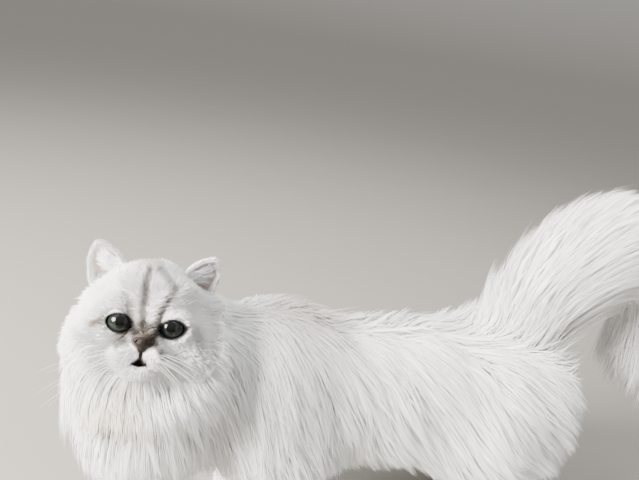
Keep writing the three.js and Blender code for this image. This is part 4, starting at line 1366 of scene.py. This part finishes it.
# Ears: short hair behind and on the rim, strands across the opening from its front edge.
ear_weight = on_ear * (1 - in_ear_cup(head_places)) ** 2
ear_roots, ear_out = spread(ear_weight, EAR_HAIRS)
on_left = into_head(ear_roots)[:, :1] > 0
ear_way = np.where(on_left, EAR_UP, EAR_UP * at(-1, 1, 1)) @ HEAD_TURN.T
ear_way = unit(ear_way + rng.normal(0, 0.14, ear_way.shape))
ear_way = unit(ear_way - 0.8 * (ear_way * ear_out).sum(1)[:, None] * ear_out)
shares = np.linspace(0, 1, LINE_STEPS + 1)
ear_height = (folded(into_head(ear_roots), 0) - EAR) @ EAR_UP + EAR_SINK
ear_length = 8 - 4.5 * ease(ear_height, 0.45 * EAR_HEIGHT, 0.9 * EAR_HEIGHT)
ear_length = (ear_length * rng.uniform(0.7, 1.1, len(ear_roots)))[:, None, None]
lines = ear_roots[:, None] + ear_way[:, None] * ear_length * shares[None, :, None]
lines = lines + ear_out[:, None] * 1.5 * np.sin(shares * 1.8)[None, :, None]
laid(
    "coat_ears", head_coat, lines, 0.34, markings_and_shade, NAP, 0.5, head_unwrap, EAR_NODES,
    unit(ear_out + 0.9 * FACING),
)


def ear_strands(side, count):
    """Strands that start along the front edge of an ear and lie over its opening."""
    start, rise, edge, span, lift = (
        rng.uniform(low, high, count)[:, None]
        for low, high in ((0.2, 0.5), (0.2, 0.55), (-0.98, -0.6), (0.5, 1.5), (0.4, 3.2))
    )
    share = start + rise * shares * (1 - 0.3 * start)
    aside = edge + span * shares ** 0.9
    deep = -lift * np.sin(math.pi * np.minimum(shares, 0.8))
    return out_of_head(ear_place(share, np.minimum(aside, 0.9), deep) * at(side, 1, 1))


lines = np.concatenate([ear_strands(side, EAR_STRANDS) for side in (1, -1)])
laid(
    "ear_strands", head_coat, lines, 0.42, body_markings, STRAND, 0.5, head_unwrap, EAR_NODES,
    np.repeat(FACING[None], len(lines), 0),
)


# Whiskers and brow hairs: stiff, white and tapered, along lines, by geometry nodes.


def whisker_lines():
    """Three rows of three on each pad, and three over each brow."""
    hairs = [
        ((9 + 2.6 * k, -16.5 - 3.2 * row + 0.5 * k), (1.0, -0.28, -0.1 - 0.22 * row), 42 + 4 * k)
        for row in range(3) for k in range(3)
    ]
    hairs += [((17 + 4 * k, 17 + k), (0.5, -0.45, 0.9), 20) for k in range(3)]
    share = np.linspace(0, 1, LINE_STEPS + 1)[:, None]
    lines = []
    for side in (1, -1):
        for (x, z), way, size in hairs:
            root = on_face(x, z, 0.5) * at(side, 1, 1)
            way = unit(at(*way) * at(side, 1, 1) + rng.normal(0, 0.05, 3))
            bend = at(0.1 * side, 0.35, -0.35) * share ** 2
            lines.append(root + size * (way * share + bend))
    return out_of_head(np.array(lines).reshape(-1, 3)).reshape(len(lines), -1, 3)


def tapered_tree():
    """A tree that makes lines of edges into closed, tapered hairs."""
    tree = bpy.data.node_groups.new("tapered_hair", "GeometryNodeTree")
    add_socket = tree.interface.new_socket
    add_socket("Geometry", in_out="INPUT", socket_type="NodeSocketGeometry")
    add_socket("Half Width", in_out="INPUT", socket_type="NodeSocketFloat")
    add_socket("Sides", in_out="INPUT", socket_type="NodeSocketInt")
    add_socket("Geometry", in_out="OUTPUT", socket_type="NodeSocketGeometry")
    given = node(tree, "NodeGroupInput")
    curves = node(tree, "GeometryNodeMeshToCurve", {"Mesh": given.outputs["Geometry"]})
    along = node(tree, "GeometryNodeSplineParameter")
    taper = node(tree, "ShaderNodeMapRange", {
        "Value": along.outputs["Factor"], "To Min": 1.0, "To Max": 0.15,
    })
    ring = node(tree, "GeometryNodeCurvePrimitiveCircle", {
        "Resolution": given.outputs["Sides"], "Radius": given.outputs["Half Width"],
    })
    tubes = node(tree, "GeometryNodeCurveToMesh", {
        "Curve": curves.outputs["Curve"], "Profile Curve": ring.outputs["Curve"],
        "Scale": taper.outputs["Result"], "Fill Caps": True,
    })
    whole = node(tree, "GeometryNodeRealizeInstances", {"Geometry": tubes.outputs["Mesh"]})
    coated = node(tree, "GeometryNodeSetMaterial", {
        "Geometry": whole.outputs["Geometry"], "Material": guard_hair,
    })
    node(tree, "NodeGroupOutput", {"Geometry": coated.outputs["Geometry"]})
    return tree


def stiff_hairs(name, lines, half_width, sides):
    """Closed hairs along lines, each with its patch on OFBake."""
    count, steps = lines.shape[:2]
    ends = np.arange(count * steps).reshape(count, steps)
    edges = np.stack([ends[:, :-1], ends[:, 1:]], -1).reshape(-1, 2)
    path = bpy.data.meshes.new(name)
    path.from_pydata(((lines.reshape(-1, 3) + SHIFT) / 1000).tolist(), edges.tolist(), [])
    made = add(name, path)
    tree = tapered_tree()
    grower = made.modifiers.new("hair", "NODES")
    grower.node_group = tree
    sizes = {"Half Width": half_width / 1000, "Sides": sides}
    for socket in tree.interface.items_tree:
        if socket.in_out == "INPUT" and socket.name in sizes:
            grower[socket.identifier] = sizes[socket.name]
    seen = made.evaluated_get(bpy.context.evaluated_depsgraph_get())
    made.data = bpy.data.meshes.new_from_object(seen)
    made.modifiers.clear()
    points = places_of(made)
    paint(made, np.repeat(WHITE[None], len(points), 0))
    each = np.repeat(lines[:, 0], len(points) // count, axis=0)
    place = np.arange(len(points)) % (sides * steps)
    shares = np.stack([place % sides / (sides - 1), place // sides / (steps - 1)], -1)
    chart(made, "OFBake", head_unwrap(each) + PATCH * (shares - 0.5))
    return made


show(stiff_hairs("whiskers", whisker_lines(), 0.22, 5), guard_hair, "coat", "head")


# Eyes.

CORNEA_EDGE, CORNEA_RISE, EYE_RINGS, EYE_COLUMNS = math.radians(42), 1.0, 30, 40


def cornea(tilt):
    """The globe's radius at an angle from the gaze, with the bulge of the cornea."""
    rise = (1 - (tilt / CORNEA_EDGE) ** 2) ** 1.5 if tilt < CORNEA_EDGE else 0
    return EYE_RADIUS - 0.1 + CORNEA_RISE * rise


def eyeball(name, side):
    """A globe turned to the viewer, with a map seen along its gaze."""
    place = EYE * at(side, 1, 1)
    gaze = unit(into_head(CAMERA_PLACE[None])[0] - place)
    right = unit(np.cross(at(0, 0, 1), -gaze))
    up = np.cross(-gaze, right)
    turns = np.linspace(0, 2 * math.pi, EYE_COLUMNS, endpoint=False)[:, None]
    flat = right * np.cos(turns) + up * np.sin(turns)
    tilts = np.linspace(0, math.pi, EYE_RINGS + 1)[1:-1]
    points = [gaze[None] * cornea(0)]
    points += [(gaze * math.cos(tilt) + flat * math.sin(tilt)) * cornea(tilt) for tilt in tilts]
    points = np.concatenate(points + [-gaze[None] * EYE_RADIUS])
    faces = [(a, c, b) for a, b, c in fan(1, EYE_COLUMNS, 0)]
    faces += sleeve(1, EYE_RINGS - 1, EYE_COLUMNS)
    faces += fan(1 + (EYE_RINGS - 2) * EYE_COLUMNS, EYE_COLUMNS, len(points) - 1)
    made = mesh_of(name, out_of_head(points + place), outward(points, faces))
    chart(made, "gaze", np.stack([points @ right, points @ up], -1) / EYE_RADIUS * 0.5 + 0.5)
    return made


for side, node_name in ((1, "eye_left"), (-1, "eye_right")):
    show(eyeball(f"{node_name}_globe", side), wet_eye, "eye", node_name)


# Nose leather.

nose_points, nose_squares = skin_of(nose_flesh, (-10, -56, -18), (10, -40, -1), size=0.45)
nose_pad = mesh_of("nose_pad", out_of_head(nose_points), tris_of(nose_squares))
show(nose_pad, leather, "nose_leather", "nose")
